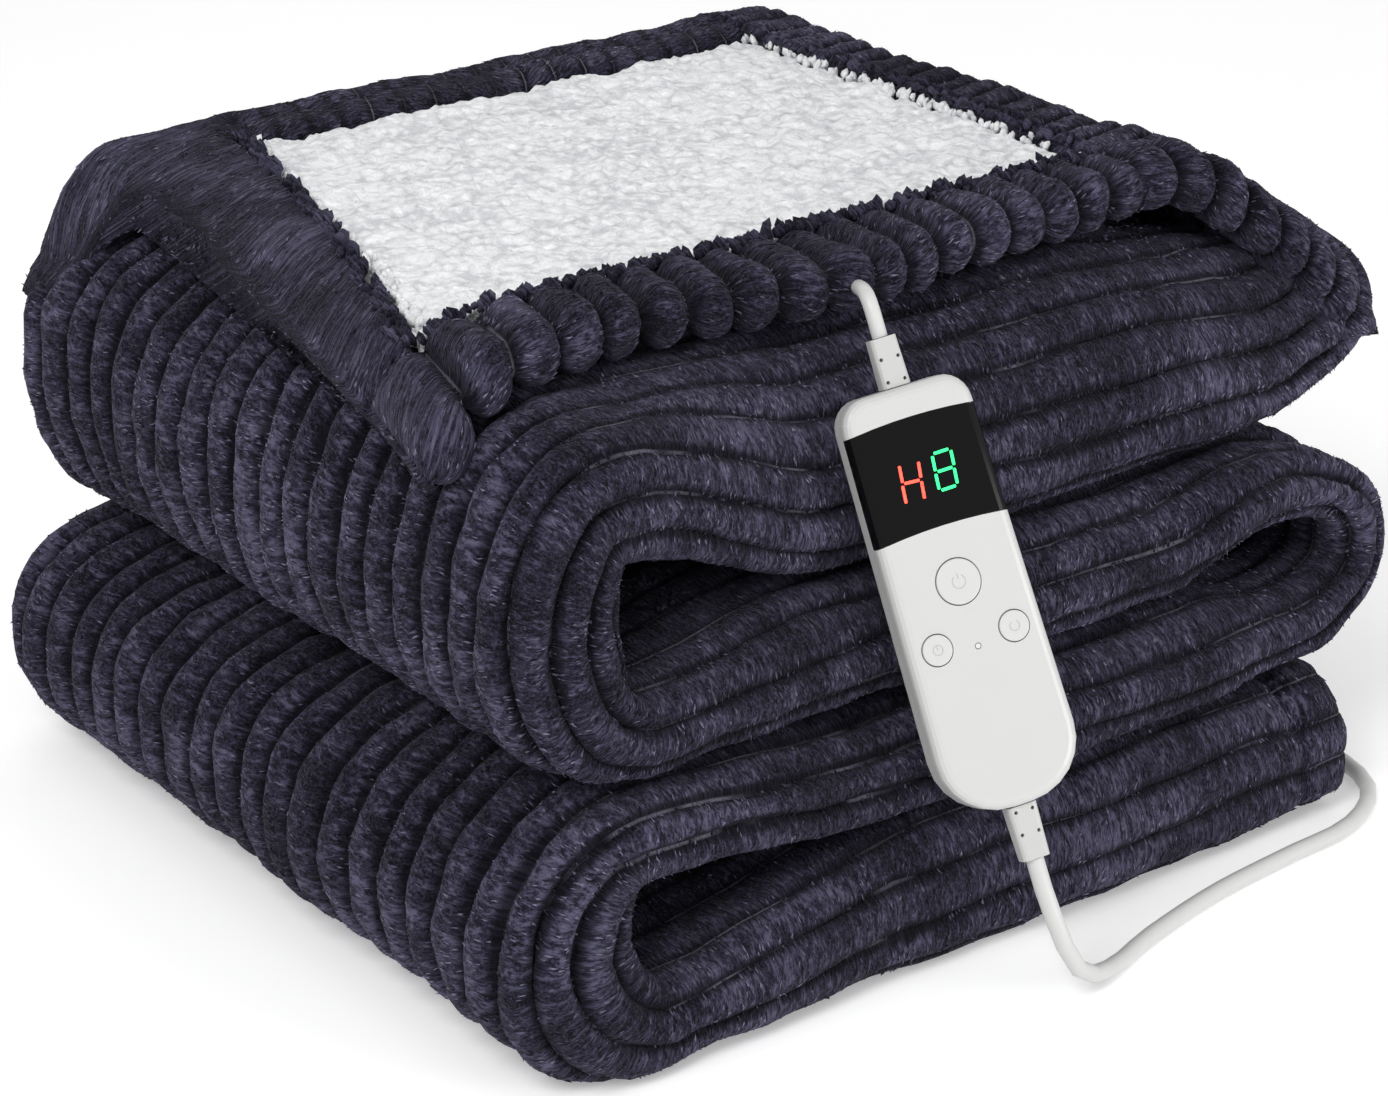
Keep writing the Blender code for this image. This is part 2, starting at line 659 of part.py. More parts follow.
def controller(plastic, black, key_plastic, lamp_plastic, mount):
    face = CASE_THICK
    above = face + CUT_OVER
    back = add_object("case_back", slab(case_outline(), 0.0, CASE_BACK, CASE_EDGE,
                                        round_low=True), plastic, mount)
    front = front_shell("case_front", plastic, mount)
    window = front_shell("display_window", black, mount)
    cut(front, "display_bed", slab(display_outline(DISPLAY_LOW - GAP, DISPLAY_HIGH + GAP),
                                   face - DISPLAY_THICK - GAP, above), mount)
    cut(window, "display", slab(display_outline(DISPLAY_LOW, DISPLAY_HIGH),
                                face - DISPLAY_THICK, above), mount, "INTERSECT")
    pieces = [back, front, window]
    for key in KEYS:
        well = circle(key.radius + KEY_CLEARANCE, key.steps, key.x, key.y)
        cut(front, key.name, slab(well, face - KEY_WELL, above), mount)
        cap = slab(circle(key.radius, key.steps, key.x, key.y), face - KEY_WELL + KEY_FLOAT,
                   face + KEY_PROUD, KEY_EDGE, round_high=True, segments=2)
        pieces.append(add_object(key.name, cap, key_plastic, mount))
    cut(front, "lamp", slab(circle(LAMP_RADIUS + GAP, 12, LAMP_X, LAMP_Y), face - LAMP_DEPTH,
                            above), mount)
    lamp = slab(circle(LAMP_RADIUS, 12, LAMP_X, LAMP_Y), face - LAMP_DEPTH + GAP, face)
    pieces.append(add_object("lamp", lamp, lamp_plastic, mount))
    for piece in pieces:
        shade(piece, 35.0)


def rounded_box_ring(wide, thick, corner, steps=3):
    """A rounded rectangle as (across, through) points."""
    points = []
    for sx, sz, first in ((1, 1, 0), (-1, 1, 90), (-1, -1, 180), (1, -1, 270)):
        for step in range(steps + 1):
            a = math.radians(first + 90 * step / steps)
            points.append((sx * (wide / 2 - corner) + corner * math.cos(a),
                           sz * (thick / 2 - corner) + corner * math.sin(a)))
    return points


def loft(sections):
    """A closed body through rings of points, each ring one section."""
    bm = bmesh.new()
    rings = [[bm.verts.new(p) for p in section] for section in sections]
    for a, b in zip(rings, rings[1:]):
        join_rings(bm, a, b)
    bm.faces.new(rings[0])
    bm.faces.new(rings[-1])
    bmesh.ops.recalc_face_normals(bm, faces=bm.faces)
    return bm


def strain_relief(relief, plastic, mount):
    """Tapered sleeve at an end of the case, pierced by four small blind holes."""
    start = relief.up * (CASE_LENGTH / 2 + GAP)
    middle = CASE_THICK / 2
    sections = []
    for share in (0.0, 1.0):
        ring = rounded_box_ring(lerp(relief.wide_in, relief.wide_out, share),
                                lerp(relief.thick_in, relief.thick_out, share), RELIEF_CORNER)
        y = start + relief.up * share * relief.length
        sections.append([(x, y, middle + z) for x, z in ring])
    sleeve = add_object(relief.name, loft(sections), plastic, mount)
    top = middle + relief.thick_in / 2
    for number, (x, y) in enumerate(RELIEF_HOLES):
        cut(sleeve, f"{relief.name}_hole_{number + 1}", slab(
            circle(RELIEF_HOLE, 10, x, start + relief.up * y), top - RELIEF_HOLE_DEPTH,
            top + CUT_OVER), mount)
    shade(sleeve, 35.0)


# ---- leads --------------------------------------------------------------------------------


def smooth_route(points, spacing):
    """Even points along a smooth curve through the route's own points."""
    ends = [points[0] * 2 - points[1]] + points + [points[-1] * 2 - points[-2]]
    dense = []
    for p, a, b, n in zip(ends, ends[1:], ends[2:], ends[3:]):
        for step in range(24):
            t = step / 24
            dense.append(((2 * a) + (b - p) * t + (2 * p - 5 * a + 4 * b - n) * t * t
                          + (3 * a - p - 3 * b + n) * t ** 3) / 2)
    dense.append(points[-1])
    lengths = [0.0]
    for a, b in zip(dense, dense[1:]):
        lengths.append(lengths[-1] + (b - a).length)
    count = max(2, round(lengths[-1] / spacing))
    even = []
    piece = 0
    for k in range(count + 1):
        at = min(lengths[-1] * k / count, lengths[-1] - 1e-9)
        while lengths[piece + 1] < at:
            piece += 1
        share = (at - lengths[piece]) / (lengths[piece + 1] - lengths[piece])
        even.append(dense[piece].lerp(dense[piece + 1], share))
    return even


def lead(name, points, diameter, material):
    curve = bpy.data.curves.new(name, "CURVE")
    curve.dimensions = "3D"
    curve.bevel_depth = diameter / 2
    curve.bevel_resolution = 2
    curve.use_fill_caps = True
    curve.materials.append(material)
    route = smooth_route(points, diameter * LEAD_STEP)
    spline = curve.splines.new("POLY")
    spline.points.add(len(route) - 1)
    for slot, point in zip(spline.points, route):
        slot.co = (*(CORNER + point), 1.0)
    thing = bpy.data.objects.new(name, curve)
    bpy.context.scene.collection.objects.link(thing)
    return thing


def lead_start(relief):
    """Two points on a strain relief's axis, just past its end, in the stack's layout."""
    end = CASE_LENGTH / 2 + GAP * 2 + relief.length
    return [case_pose() @ Vector((0.0, relief.up * out, CASE_THICK / 2)) - CORNER
            for out in (end, end + LEAD_STRAIGHT)]


def leads(cord):
    upper, lower = (lead_start(relief) for relief in RELIEFS)
    lead("low_lead", upper + [Vector(p) for p in LOW_ROUTE], LOW_LEAD, cord)
    lead("mains_lead", lower + [Vector(p) for p in MAINS_ROUTE], MAINS_LEAD, cord)


def coil_section():
    """Outline of the stacked turns as (radius, z): lobes outside and inside."""
    half = MAINS_LEAD / 2
    outer, inner = [], []
    for row in range(COIL_UP):
        z = COIL_LIFT + half + row * MAINS_LEAD
        reach = (COIL_ACROSS - 1) * half
        for angle in (-60, 0, 60):
            a = math.radians(angle)
            outer.append((COIL_RADIUS + reach + half * math.cos(a), z + half * math.sin(a)))
            inner.append((COIL_RADIUS - reach - half * math.cos(a), z + half * math.sin(a)))
    return outer + inner[::-1]


def mains_coil(cord):
    """The outer shape of the coiled turns, turned as one ring."""
    section = coil_section()
    bm = bmesh.new()
    rings = []
    for step in range(COIL_STEPS):
        a = 2 * math.pi * step / COIL_STEPS
        turned = Vector((math.cos(a), math.sin(a), 0))
        rings.append([bm.verts.new(CORNER + COIL_CENTRE + turned * r + Vector((0, 0, z)))
                      for r, z in section])
    for a, b in zip(rings, rings[1:] + rings[:1]):
        join_rings(bm, a, b)
    bmesh.ops.recalc_face_normals(bm, faces=bm.faces)
    coil = add_object("mains_coil", bm, cord)
    shade(coil, 50.0)


def coil_tie(band):
    """A flat band round the coil's turns."""
    wide = COIL_ACROSS * MAINS_LEAD + 2 * TIE_ROOM
    tall = COIL_UP * MAINS_LEAD + 2 * TIE_ROOM
    middle = COIL_LIFT + COIL_UP * MAINS_LEAD / 2
    loops = []
    for along in (-TIE_LENGTH / 2, TIE_LENGTH / 2):
        for grow in (0.0, TIE_THICK):
            ring = rounded_box_ring(wide + 2 * grow, tall + 2 * grow, 0.0012 + grow)
            loops.append([(r, along, middle + z) for r, z in ring])
    bm = bmesh.new()
    inner_a, outer_a, inner_b, outer_b = [[bm.verts.new(p) for p in loop] for loop in loops]
    for a, b in ((inner_a, outer_a), (outer_a, outer_b), (outer_b, inner_b), (inner_b, inner_a)):
        join_rings(bm, a, b)
    bmesh.ops.recalc_face_normals(bm, faces=bm.faces)
    out = Matrix.Rotation(TIE_PLACE, 4, "Z")
    bm.transform(Matrix.Translation(CORNER + COIL_CENTRE) @ out
                 @ Matrix.Translation((COIL_RADIUS, 0, 0)))
    tie = add_object("coil_tie", bm, band)
    shade(tie, 35.0)


def plug(plastic, metal):
    """The plug beside the coil, on the tangent that its last turn leaves along."""
    middle = max(row.thick for row in PLUG) / 2 + 0.0001
    place = (Matrix.Translation(CORNER + COIL_CENTRE + Vector((0, 0, middle)))
             @ Matrix.Rotation(PLUG_PLACE, 4, "Z")
             @ Matrix.Translation((COIL_RADIUS + MAINS_LEAD / 2, PLUG_START, 0)))
    mount = bpy.data.objects.new("plug_place", None)
    bpy.context.scene.collection.objects.link(mount)
    mount.matrix_world = place
    sections = []
    for row in PLUG:
        ring = rounded_box_ring(row.wide, row.thick, PLUG_CORNER)
        sections.append([(x, row.along, z) for x, z in ring])
    body = add_object("plug_body", loft(sections), plastic, mount)
    shade(body, 35.0)
    face = PLUG[-1].along + GAP
    for number, side in enumerate((-1, 1)):
        ring = rounded_box_ring(PIN_THICK, PIN_WIDE, PIN_THICK * 0.4, 1)
        x = side * PIN_APART / 2
        sections = [[(x + px, y, pz) for px, pz in ring] for y in (face, face + PIN_LENGTH)]
        add_object(f"plug_pin_{number + 1}", loft(sections), metal, mount)


def main():
    for thing in list(bpy.data.objects):
        bpy.data.objects.remove(thing, do_unlink=True)

    plush = finish("plush", (0.032, 0.029, 0.045), 0.95)
    pile = finish("pile", (0.80, 0.82, 0.84), 0.95)
    plastic = finish("case_plastic", (0.80, 0.80, 0.79), 0.35)
    black = finish("display_black", (0.010, 0.010, 0.011), 0.08)
    key_plastic = finish("key_plastic", (0.82, 0.82, 0.81), 0.40)
    lamp_plastic = finish("lamp_plastic", (0.60, 0.60, 0.58), 0.30)

    cord = finish("lead_vinyl", (0.80, 0.80, 0.79), 0.45)
    band = finish("tie_plastic", (0.05, 0.05, 0.05), 0.50)
    metal = finish("pin_metal", (0.80, 0.78, 0.72), 0.25, 1.0)

    folded_cloth(plush)
    pile_panel(pile)
    mount = bpy.data.objects.new("controller_place", None)
    bpy.context.scene.collection.objects.link(mount)
    mount.matrix_world = case_pose()
    controller(plastic, black, key_plastic, lamp_plastic, mount)
    for relief in RELIEFS:
        strain_relief(relief, plastic, mount)
    leads(cord)
    mains_coil(cord)
    coil_tie(band)
    plug(plastic, metal)


main()
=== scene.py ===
import math
import random

import bmesh
import bpy
import numpy as np
from mathutils import Matrix, Vector, noise
from mathutils.bvhtree import BVHTree
from mathutils.geometry import tessellate_polygon


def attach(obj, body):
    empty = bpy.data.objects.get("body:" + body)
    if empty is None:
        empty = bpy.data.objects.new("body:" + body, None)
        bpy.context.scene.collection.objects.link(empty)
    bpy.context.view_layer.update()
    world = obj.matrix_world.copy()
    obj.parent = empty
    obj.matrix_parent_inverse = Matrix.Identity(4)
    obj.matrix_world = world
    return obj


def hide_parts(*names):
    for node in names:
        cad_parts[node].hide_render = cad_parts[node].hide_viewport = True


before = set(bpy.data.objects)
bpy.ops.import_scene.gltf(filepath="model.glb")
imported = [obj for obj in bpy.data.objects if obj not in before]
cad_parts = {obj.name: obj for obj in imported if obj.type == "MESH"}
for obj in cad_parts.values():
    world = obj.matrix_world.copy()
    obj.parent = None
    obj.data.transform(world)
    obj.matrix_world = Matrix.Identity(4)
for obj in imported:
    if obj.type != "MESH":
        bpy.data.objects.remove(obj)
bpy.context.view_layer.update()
noise.seed_set(5)                            # noise vectors change with the clock without it

corner = Vector((-0.2138, -0.1744, 0.0))     # near bottom corner of the stack, as in the CAD
gap = 0.0003                                 # left between pieces that touch
hair = 1e-9                                  # keeps a length just inside a path's end
weldDistance = 1e-6
markOff = 0.0001                             # keeps a rib's number off the groove's exact place


def mix(a, b, t):
    return a + (b - a) * t


def ease(t):
    t = min(1.0, max(0.0, t))
    return t * t * (3 - 2 * t)


def readTable(rows, where):
    # value beside a position, straight between the rows of a short table
    if where <= rows[0][0]:
        return rows[0][1]
    for (low, a), (high, b) in zip(rows, rows[1:]):
        if where <= high:
            return mix(a, b, (where - low) / (high - low))
    return rows[-1][1]


def readPair(rows, where):
    return tuple(readTable([(at, pair[k]) for at, pair in rows], where) for k in (0, 1))


def runningLengths(steps):
    lengths = [0.0]
    for step in steps:
        lengths.append(lengths[-1] + step)
    return lengths


def alongPath(lengths, at, stretch):
    # the stretch that holds a length, counted on from a given stretch, and the share of it
    at = min(at, lengths[-1] - hair)
    while lengths[stretch + 1] < at:
        stretch += 1
    return stretch, (at - lengths[stretch]) / (lengths[stretch + 1] - lengths[stretch])


def quarterTurns(start, stop, steps):
    # angles from start to stop quarter turns, with a number of steps to each quarter
    return [math.radians(90 / steps * k) for k in range(start * steps, stop * steps + 1)]


view = dict(place=(-0.8838, -1.1138, 0.720), aim=(0.5540, 0.7299, -0.4003), lens=95.66,
            sensor=36.0, clipEnd=50.0)

cameraData = bpy.data.cameras.new("photo_camera")
cameraData.lens = view["lens"]
cameraData.sensor_width = view["sensor"]
cameraData.clip_end = view["clipEnd"]
camera = bpy.data.objects.new("photo_camera", cameraData)
camera.location = view["place"]
camera.rotation_euler = Vector(view["aim"]).to_track_quat("-Z", "Y").to_euler()
bpy.context.scene.collection.objects.link(camera)
bpy.context.scene.camera = camera


def newMaterial(name, roughness=0.5):
    material = bpy.data.materials.new(name)
    material.use_nodes = True
    shader = material.node_tree.nodes["Principled BSDF"]
    shader.inputs["Roughness"].default_value = roughness
    return material, material.node_tree, shader


def addNode(tree, kind, **values):
    node = tree.nodes.new(kind)
    for key, value in values.items():
        setattr(node, key, value)
    return node


def mathNode(tree, operation, a, b=0.0):
    node = addNode(tree, "ShaderNodeMath", operation=operation)
    for slot, value in zip(node.inputs, (a, b)):
        if isinstance(value, (int, float)):
            slot.default_value = value
        else:
            tree.links.new(value, slot)
    return node.outputs[0]


def weightedSum(tree, *pairs):
    total = None
    for value, weight in pairs:
        part = mathNode(tree, "MULTIPLY", value, weight)
        total = part if total is None else mathNode(tree, "ADD", total, part)
    return total


def noiseNode(tree, vector, scale, detail=2.0, roughness=0.5, distortion=0.0):
    node = addNode(tree, "ShaderNodeTexNoise")
    node.inputs["Scale"].default_value = scale
    node.inputs["Detail"].default_value = detail
    node.inputs["Roughness"].default_value = roughness
    node.inputs["Distortion"].default_value = distortion
    tree.links.new(vector, node.inputs["Vector"])
    return node.outputs["Fac"]


def rampNode(tree, factor, stops):
    node = addNode(tree, "ShaderNodeValToRGB")
    elements = node.color_ramp.elements
    elements[0].position, elements[0].color = stops[0][0], (*stops[0][1], 1.0)
    elements[1].position, elements[1].color = stops[1][0], (*stops[1][1], 1.0)
    for position, colour in stops[2:]:
        elements.new(position).color = (*colour, 1.0)
    tree.links.new(factor, node.inputs["Fac"])
    return node.outputs["Color"]


def rangeNode(tree, value, low, high, toLow=0.0, toHigh=1.0, smooth=True):
    node = addNode(tree, "ShaderNodeMapRange")
    node.interpolation_type = "SMOOTHSTEP" if smooth else "LINEAR"
    for key, number in (("From Min", low), ("From Max", high), ("To Min", toLow),
                        ("To Max", toHigh)):
        node.inputs[key].default_value = number
    tree.links.new(value, node.inputs["Value"])
    return node.outputs["Result"]


def mixColour(tree, factor, a, b):
    # sockets 0, 6 and 7 of this node are its factor and its two colours
    node = addNode(tree, "ShaderNodeMix", data_type="RGBA", blend_type="MIX")
    for slot, value in ((node.inputs[0], factor), (node.inputs[6], a), (node.inputs[7], b)):
        if isinstance(value, (int, float)):
            slot.default_value = value
        elif isinstance(value, tuple):
            slot.default_value = (*value, 1.0)
        else:
            tree.links.new(value, slot)
    return node.outputs[2]


def bumpNode(tree, height, strength, distance):
    node = addNode(tree, "ShaderNodeBump")
    node.inputs["Strength"].default_value = strength
    node.inputs["Distance"].default_value = distance
    tree.links.new(height, node.inputs["Height"])
    return node.outputs["Normal"]


def objectCoords(tree):
    return addNode(tree, "ShaderNodeTexCoord").outputs["Object"]


# the groove colours are painted light: a dark painted shade on the grooves' sides and a pale painted
# highlight along their bottoms
plushLook = dict(
    dark=(0.0042, 0.0039, 0.0072), base=(0.0190, 0.0176, 0.0325), light=(0.0880, 0.0825, 0.1330),
    tipLight=(0.2300, 0.2180, 0.3250), grooveShade=(0.0026, 0.0024, 0.0040),
    grooveHighlight=(0.150, 0.145, 0.185), sheen=(0.66, 0.64, 0.84), sheenWeight=0.08,
    sheenRoughness=0.32, furrowAlong=0.0027, furrowAcross=0.0105, streakAlong=0.0011,
    streakAcross=0.0042, patch=17.0, smudge=62.0, patchShare=0.62, grain=900.0, grainLight=0.40,
    ribPitch=0.0195, grooveShadeWidth=0.26, grooveShadeStrength=0.88, grooveHighlightWidth=0.032, grooveHighlightStrength=0.75,
    lineBreaks=26.0, bump=0.0036)


def brushedShade(tree, place):
    # broad patches and small smudges where the pile is brushed one way or the other
    patches = noiseNode(tree, place, plushLook["patch"], 3.0, 0.55, 0.5)
    smudge = noiseNode(tree, place, plushLook["smudge"], 2.0, 0.6, 0.8)
    share = plushLook["patchShare"]
    return weightedSum(tree, (patches, share), (smudge, 1 - share)), smudge


def addSheen(shader):
    shader.inputs["Sheen Weight"].default_value = plushLook["sheenWeight"]
    shader.inputs["Sheen Roughness"].default_value = plushLook["sheenRoughness"]
    shader.inputs["Sheen Tint"].default_value = (*plushLook["sheen"], 1.0)


def acrossNoise(tree, along, rib, sizeAlong, sizeAcross, distortion):
    vector = addNode(tree, "ShaderNodeCombineXYZ")
    tree.links.new(mathNode(tree, "MULTIPLY", along, 1 / sizeAlong), vector.inputs[0])
    tree.links.new(mathNode(tree, "MULTIPLY", rib, plushLook["ribPitch"] / sizeAcross),
                   vector.inputs[1])
    return noiseNode(tree, vector.outputs[0], 1.0, 2.5, 0.6, distortion)


def plushMaterial(name):
    # uv: x is metres along a rib, y counts the ribs
    material, tree, shader = newMaterial(name, 0.92)
    uv = addNode(tree, "ShaderNodeUVMap", uv_map="ribs").outputs["UV"]
    split = addNode(tree, "ShaderNodeSeparateXYZ")
    tree.links.new(uv, split.inputs[0])
    along, rib = split.outputs[0], split.outputs[1]
    place = objectCoords(tree)
    # furrows and finer streaks in the pile lie across the ribs
    furrow = acrossNoise(tree, along, rib, plushLook["furrowAlong"], plushLook["furrowAcross"], 1.3)
    streak = acrossNoise(tree, along, rib, plushLook["streakAlong"], plushLook["streakAcross"], 0.9)
    grain = noiseNode(tree, place, plushLook["grain"], 2.0, 0.7)
    brushed, smudge = brushedShade(tree, place)
    shade = weightedSum(tree, (streak, 0.28), (brushed, 0.36), (furrow, 0.36))
    colour = rampNode(tree, shade, [(0.425, plushLook["dark"]), (0.585, plushLook["light"]),
                                    (0.500, plushLook["base"])])
    colour = mixColour(tree, rangeNode(tree, grain, 0.45, 0.75, 0.0, plushLook["grainLight"]),
                       colour, plushLook["light"])
    # grooves: painted shade on their sides and a thin painted highlight along the bottom
    turn = mathNode(tree, "FRACT", rib)
    off = mathNode(tree, "MINIMUM", turn, mathNode(tree, "SUBTRACT", 1.0, turn))
    grooveShading = rangeNode(tree, off, 0.02, plushLook["grooveShadeWidth"], plushLook["grooveShadeStrength"], 0.0)
    colour = mixColour(tree, grooveShading, colour, plushLook["grooveShade"])
    # painted highlight: a thin pale line along each groove's bottom, broken in places
    breaks = noiseNode(tree, place, plushLook["lineBreaks"], 2.0, 0.6)
    line = rangeNode(tree, off, 0.010, plushLook["grooveHighlightWidth"], plushLook["grooveHighlightStrength"], 0.0)
    line = mathNode(tree, "MULTIPLY", line, rangeNode(tree, breaks, 0.46, 0.64))
    colour = mixColour(tree, line, colour, plushLook["grooveHighlight"])
    tree.links.new(colour, shader.inputs["Base Color"])
    addSheen(shader)
    shader.inputs["Specular IOR Level"].default_value = 0.10
    height = weightedSum(tree, (streak, 0.45), (furrow, 0.85), (smudge, 0.8))
    tree.links.new(bumpNode(tree, height, 1.0, plushLook["bump"]), shader.inputs["Normal"])
    return material


def fibreMaterial(name):
    # locks get painted shade towards the root, so they are paler at the tip, and follow the cloth's
    # patches
    material, tree, shader = newMaterial(name, 0.85)
    place = objectCoords(tree)
    tip = addNode(tree, "ShaderNodeAttribute", attribute_name="tip").outputs["Fac"]
    brushed = brushedShade(tree, place)[0]
    tone = addNode(tree, "ShaderNodeAttribute", attribute_name="tone").outputs["Fac"]
    shade = weightedSum(tree, (brushed, 0.95), (tone, 0.30))
    colour = rampNode(tree, shade, [(0.50, plushLook["dark"]), (0.76, plushLook["tipLight"]),
                                    (0.60, plushLook["base"]), (0.67, plushLook["light"])])
    # painted shade towards each lock's root, fading out before its tip
    colour = mixColour(tree, rangeNode(tree, tip, 0.0, 0.8, 0.75, 0.0, False), colour,
                       plushLook["dark"])
    tree.links.new(colour, shader.inputs["Base Color"])
    addSheen(shader)
    shader.inputs["Specular IOR Level"].default_value = 0.15
    return material


# the pile's dark colour is painted shade, mostly in the crevices between its curls
pileLook = dict(dark=(0.65, 0.66, 0.69), base=(0.90, 0.91, 0.925), light=(0.96, 0.965, 0.975),
                curls=210.0, bends=90.0, bend=0.010, fibres=620.0, patches=30.0, sheen=0.25,
                scatter=0.10, scatterDepth=0.004, bump=0.0030)


def pileMaterial():
    material, tree, shader = newMaterial("white_pile", 0.95)
    place = objectCoords(tree)
    curls = addNode(tree, "ShaderNodeTexVoronoi", feature="SMOOTH_F1")
    curls.inputs["Scale"].default_value = pileLook["curls"]
    curls.inputs["Smoothness"].default_value = 0.6
    bent = addNode(tree, "ShaderNodeTexNoise")
    bent.inputs["Scale"].default_value = pileLook["bends"]
    tree.links.new(place, bent.inputs["Vector"])
    pushed = addNode(tree, "ShaderNodeVectorMath", operation="MULTIPLY_ADD")
    tree.links.new(bent.outputs["Color"], pushed.inputs[0])
    pushed.inputs[1].default_value = (pileLook["bend"],) * 3
    tree.links.new(place, pushed.inputs[2])
    tree.links.new(pushed.outputs[0], curls.inputs["Vector"])
    fine = noiseNode(tree, pushed.outputs[0], pileLook["fibres"], 3.0, 0.7, 1.2)
    patches = noiseNode(tree, place, pileLook["patches"], 3.0, 0.6)
    curl = curls.outputs["Distance"]
    # the curls' edges pull the colour towards the dark stop: painted shade in the crevices
    shade = weightedSum(tree, (curl, -0.55), (fine, 0.5), (patches, 0.45))
    colour = rampNode(tree, shade, [(0.04, pileLook["dark"]), (0.44, pileLook["light"]),
                                    (0.22, pileLook["base"])])
    tree.links.new(colour, shader.inputs["Base Color"])
    shader.inputs["Sheen Weight"].default_value = pileLook["sheen"]
    shader.inputs["Subsurface Weight"].default_value = pileLook["scatter"]
    shader.inputs["Subsurface Radius"].default_value = (pileLook["scatterDepth"],) * 3
    height = weightedSum(tree, (curl, -1.0), (fine, 0.6))
    tree.links.new(bumpNode(tree, height, 0.7, pileLook["bump"]), shader.inputs["Normal"])
    return material


plasticLook = dict(cloud=28.0, dull=0.93, dullMost=0.35, smoothest=0.88, roughest=1.15, bump=0.25)


def plasticMaterial(name, colour, roughness, grain=900.0, depth=0.00003, coat=0.0):
    look = plasticLook
    material, tree, shader = newMaterial(name, roughness)
    place = objectCoords(tree)
    cloud = noiseNode(tree, place, look["cloud"], 3.0, 0.55)
    dull = mixColour(tree, rangeNode(tree, cloud, 0.40, 0.75, 0.0, look["dullMost"]), colour,
                     tuple(c * look["dull"] for c in colour))
    tree.links.new(dull, shader.inputs["Base Color"])
    tree.links.new(rangeNode(tree, cloud, 0.3, 0.7, roughness * look["smoothest"],
                             roughness * look["roughest"]), shader.inputs["Roughness"])
    tree.links.new(bumpNode(tree, noiseNode(tree, place, grain, 2.0, 0.6), look["bump"], depth),
                   shader.inputs["Normal"])
    shader.inputs["Coat Weight"].default_value = coat
    return material


glowLook = dict(cells=700.0, dimmest=0.8, brightest=1.15)


def glowMaterial(name, colour, strength):
    material, tree, shader = newMaterial(name, 0.4)
    shader.inputs["Base Color"].default_value = (*colour, 1.0)
    cells = noiseNode(tree, objectCoords(tree), glowLook["cells"], 2.0, 0.6)
    shader.inputs["Emission Color"].default_value = (*colour, 1.0)
    tree.links.new(rangeNode(tree, cells, 0.2, 0.8, strength * glowLook["dimmest"],
                             strength * glowLook["brightest"]), shader.inputs["Emission Strength"])
    return material


def metalMaterial(name, dull, bright, roughness):
    material, tree, shader = newMaterial(name, roughness)
    shader.inputs["Metallic"].default_value = 1.0
    cloud = noiseNode(tree, objectCoords(tree), 400.0)
    tree.links.new(rampNode(tree, cloud, [(0.3, dull), (0.7, bright)]), shader.inputs["Base Color"])
    return material


plush = plushMaterial("ribbed_plush")
plushFibre = fibreMaterial("plush_fibre")
whitePile = pileMaterial()
casePlastic = plasticMaterial("case_plastic", (0.54, 0.54, 0.53), 0.34, coat=0.10)
keyPlastic = plasticMaterial("key_plastic", (0.55, 0.55, 0.54), 0.40)
displayBlack = plasticMaterial("display_glass", (0.0035, 0.0035, 0.004), 0.10, 300.0, 0.00001)
displayBlack.node_tree.nodes["Principled BSDF"].inputs["Specular IOR Level"].default_value = 0.16
leadVinyl = plasticMaterial("lead_vinyl", (0.56, 0.56, 0.55), 0.42)
reliefVinyl = plasticMaterial("relief_vinyl", (0.49, 0.49, 0.48), 0.46)
tiePlastic = plasticMaterial("tie_plastic", (0.030, 0.030, 0.032), 0.45)
lampPlastic = plasticMaterial("lamp_plastic", (0.62, 0.62, 0.60), 0.30)
markInk = plasticMaterial("mark_ink", (0.40, 0.40, 0.40), 0.55)
redGlow = glowMaterial("red_segments", (1.0, 0.05, 0.03), 3.2)
greenGlow = glowMaterial("green_segments", (0.02, 0.80, 0.16), 2.2)
pinMetal = metalMaterial("pin_metal", (0.70, 0.68, 0.62), (0.84, 0.82, 0.77), 0.28)
print("finishes done")


def addPiece(name, bm, material, body="blanket", angle=None):
    mesh = bpy.data.meshes.new(name)
    bm.to_mesh(mesh)
    bm.free()
    piece = bpy.data.objects.new(name, mesh)
    bpy.context.scene.collection.objects.link(piece)
    mesh.materials.append(material)
    mesh.shade_smooth()
    if angle is not None:
        mesh.set_sharp_from_angle(angle=math.radians(angle))
    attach(piece, body)
    return piece


def gridMesh(columns, rows, place):
    # a grid whose vertices are moved by place(column, row) -> (point, (along, rib))
    bm = bmesh.new()
    bmesh.ops.create_grid(bm, x_segments=columns, y_segments=rows, size=1.0)
    layer = bm.loops.layers.uv.new("ribs")
    marks, grid = {}, {}
    for vert in bm.verts:
        column = round((vert.co.x + 1) / 2 * columns)
        row = round((vert.co.y + 1) / 2 * rows)
        vert.co, marks[vert] = place(column, row)
        grid[column, row] = vert
    for face in bm.faces:
        for loop in face.loops:
            loop[layer].uv = marks[loop.vert]
    return bm, grid


def closeEnd(bm, corners, flat):
    # faces over one end of a tube; flat is the end's outline laid out in a plane
    layer = bm.loops.layers.uv["ribs"]
    for triangle in tessellate_polygon([flat]):
        face = bm.faces.new([corners[k] for k in triangle])
        for loop in face.loops:
            loop[layer].uv = (loop.vert.co.y + loop.vert.co.z, 0.5)


def tubeMesh(sections, flats):
    # closed tube through equal loops of (point, (along, rib))
    columns, rows = len(sections) - 1, len(sections[0])
    bm, grid = gridMesh(columns, rows, lambda column, row: sections[column][row % rows])
    for column, flat in ((0, flats[0]), (columns, flats[-1])):
        closeEnd(bm, [grid[column, row] for row in range(rows)], flat)
    bmesh.ops.remove_doubles(bm, verts=bm.verts, dist=weldDistance)
    return bm


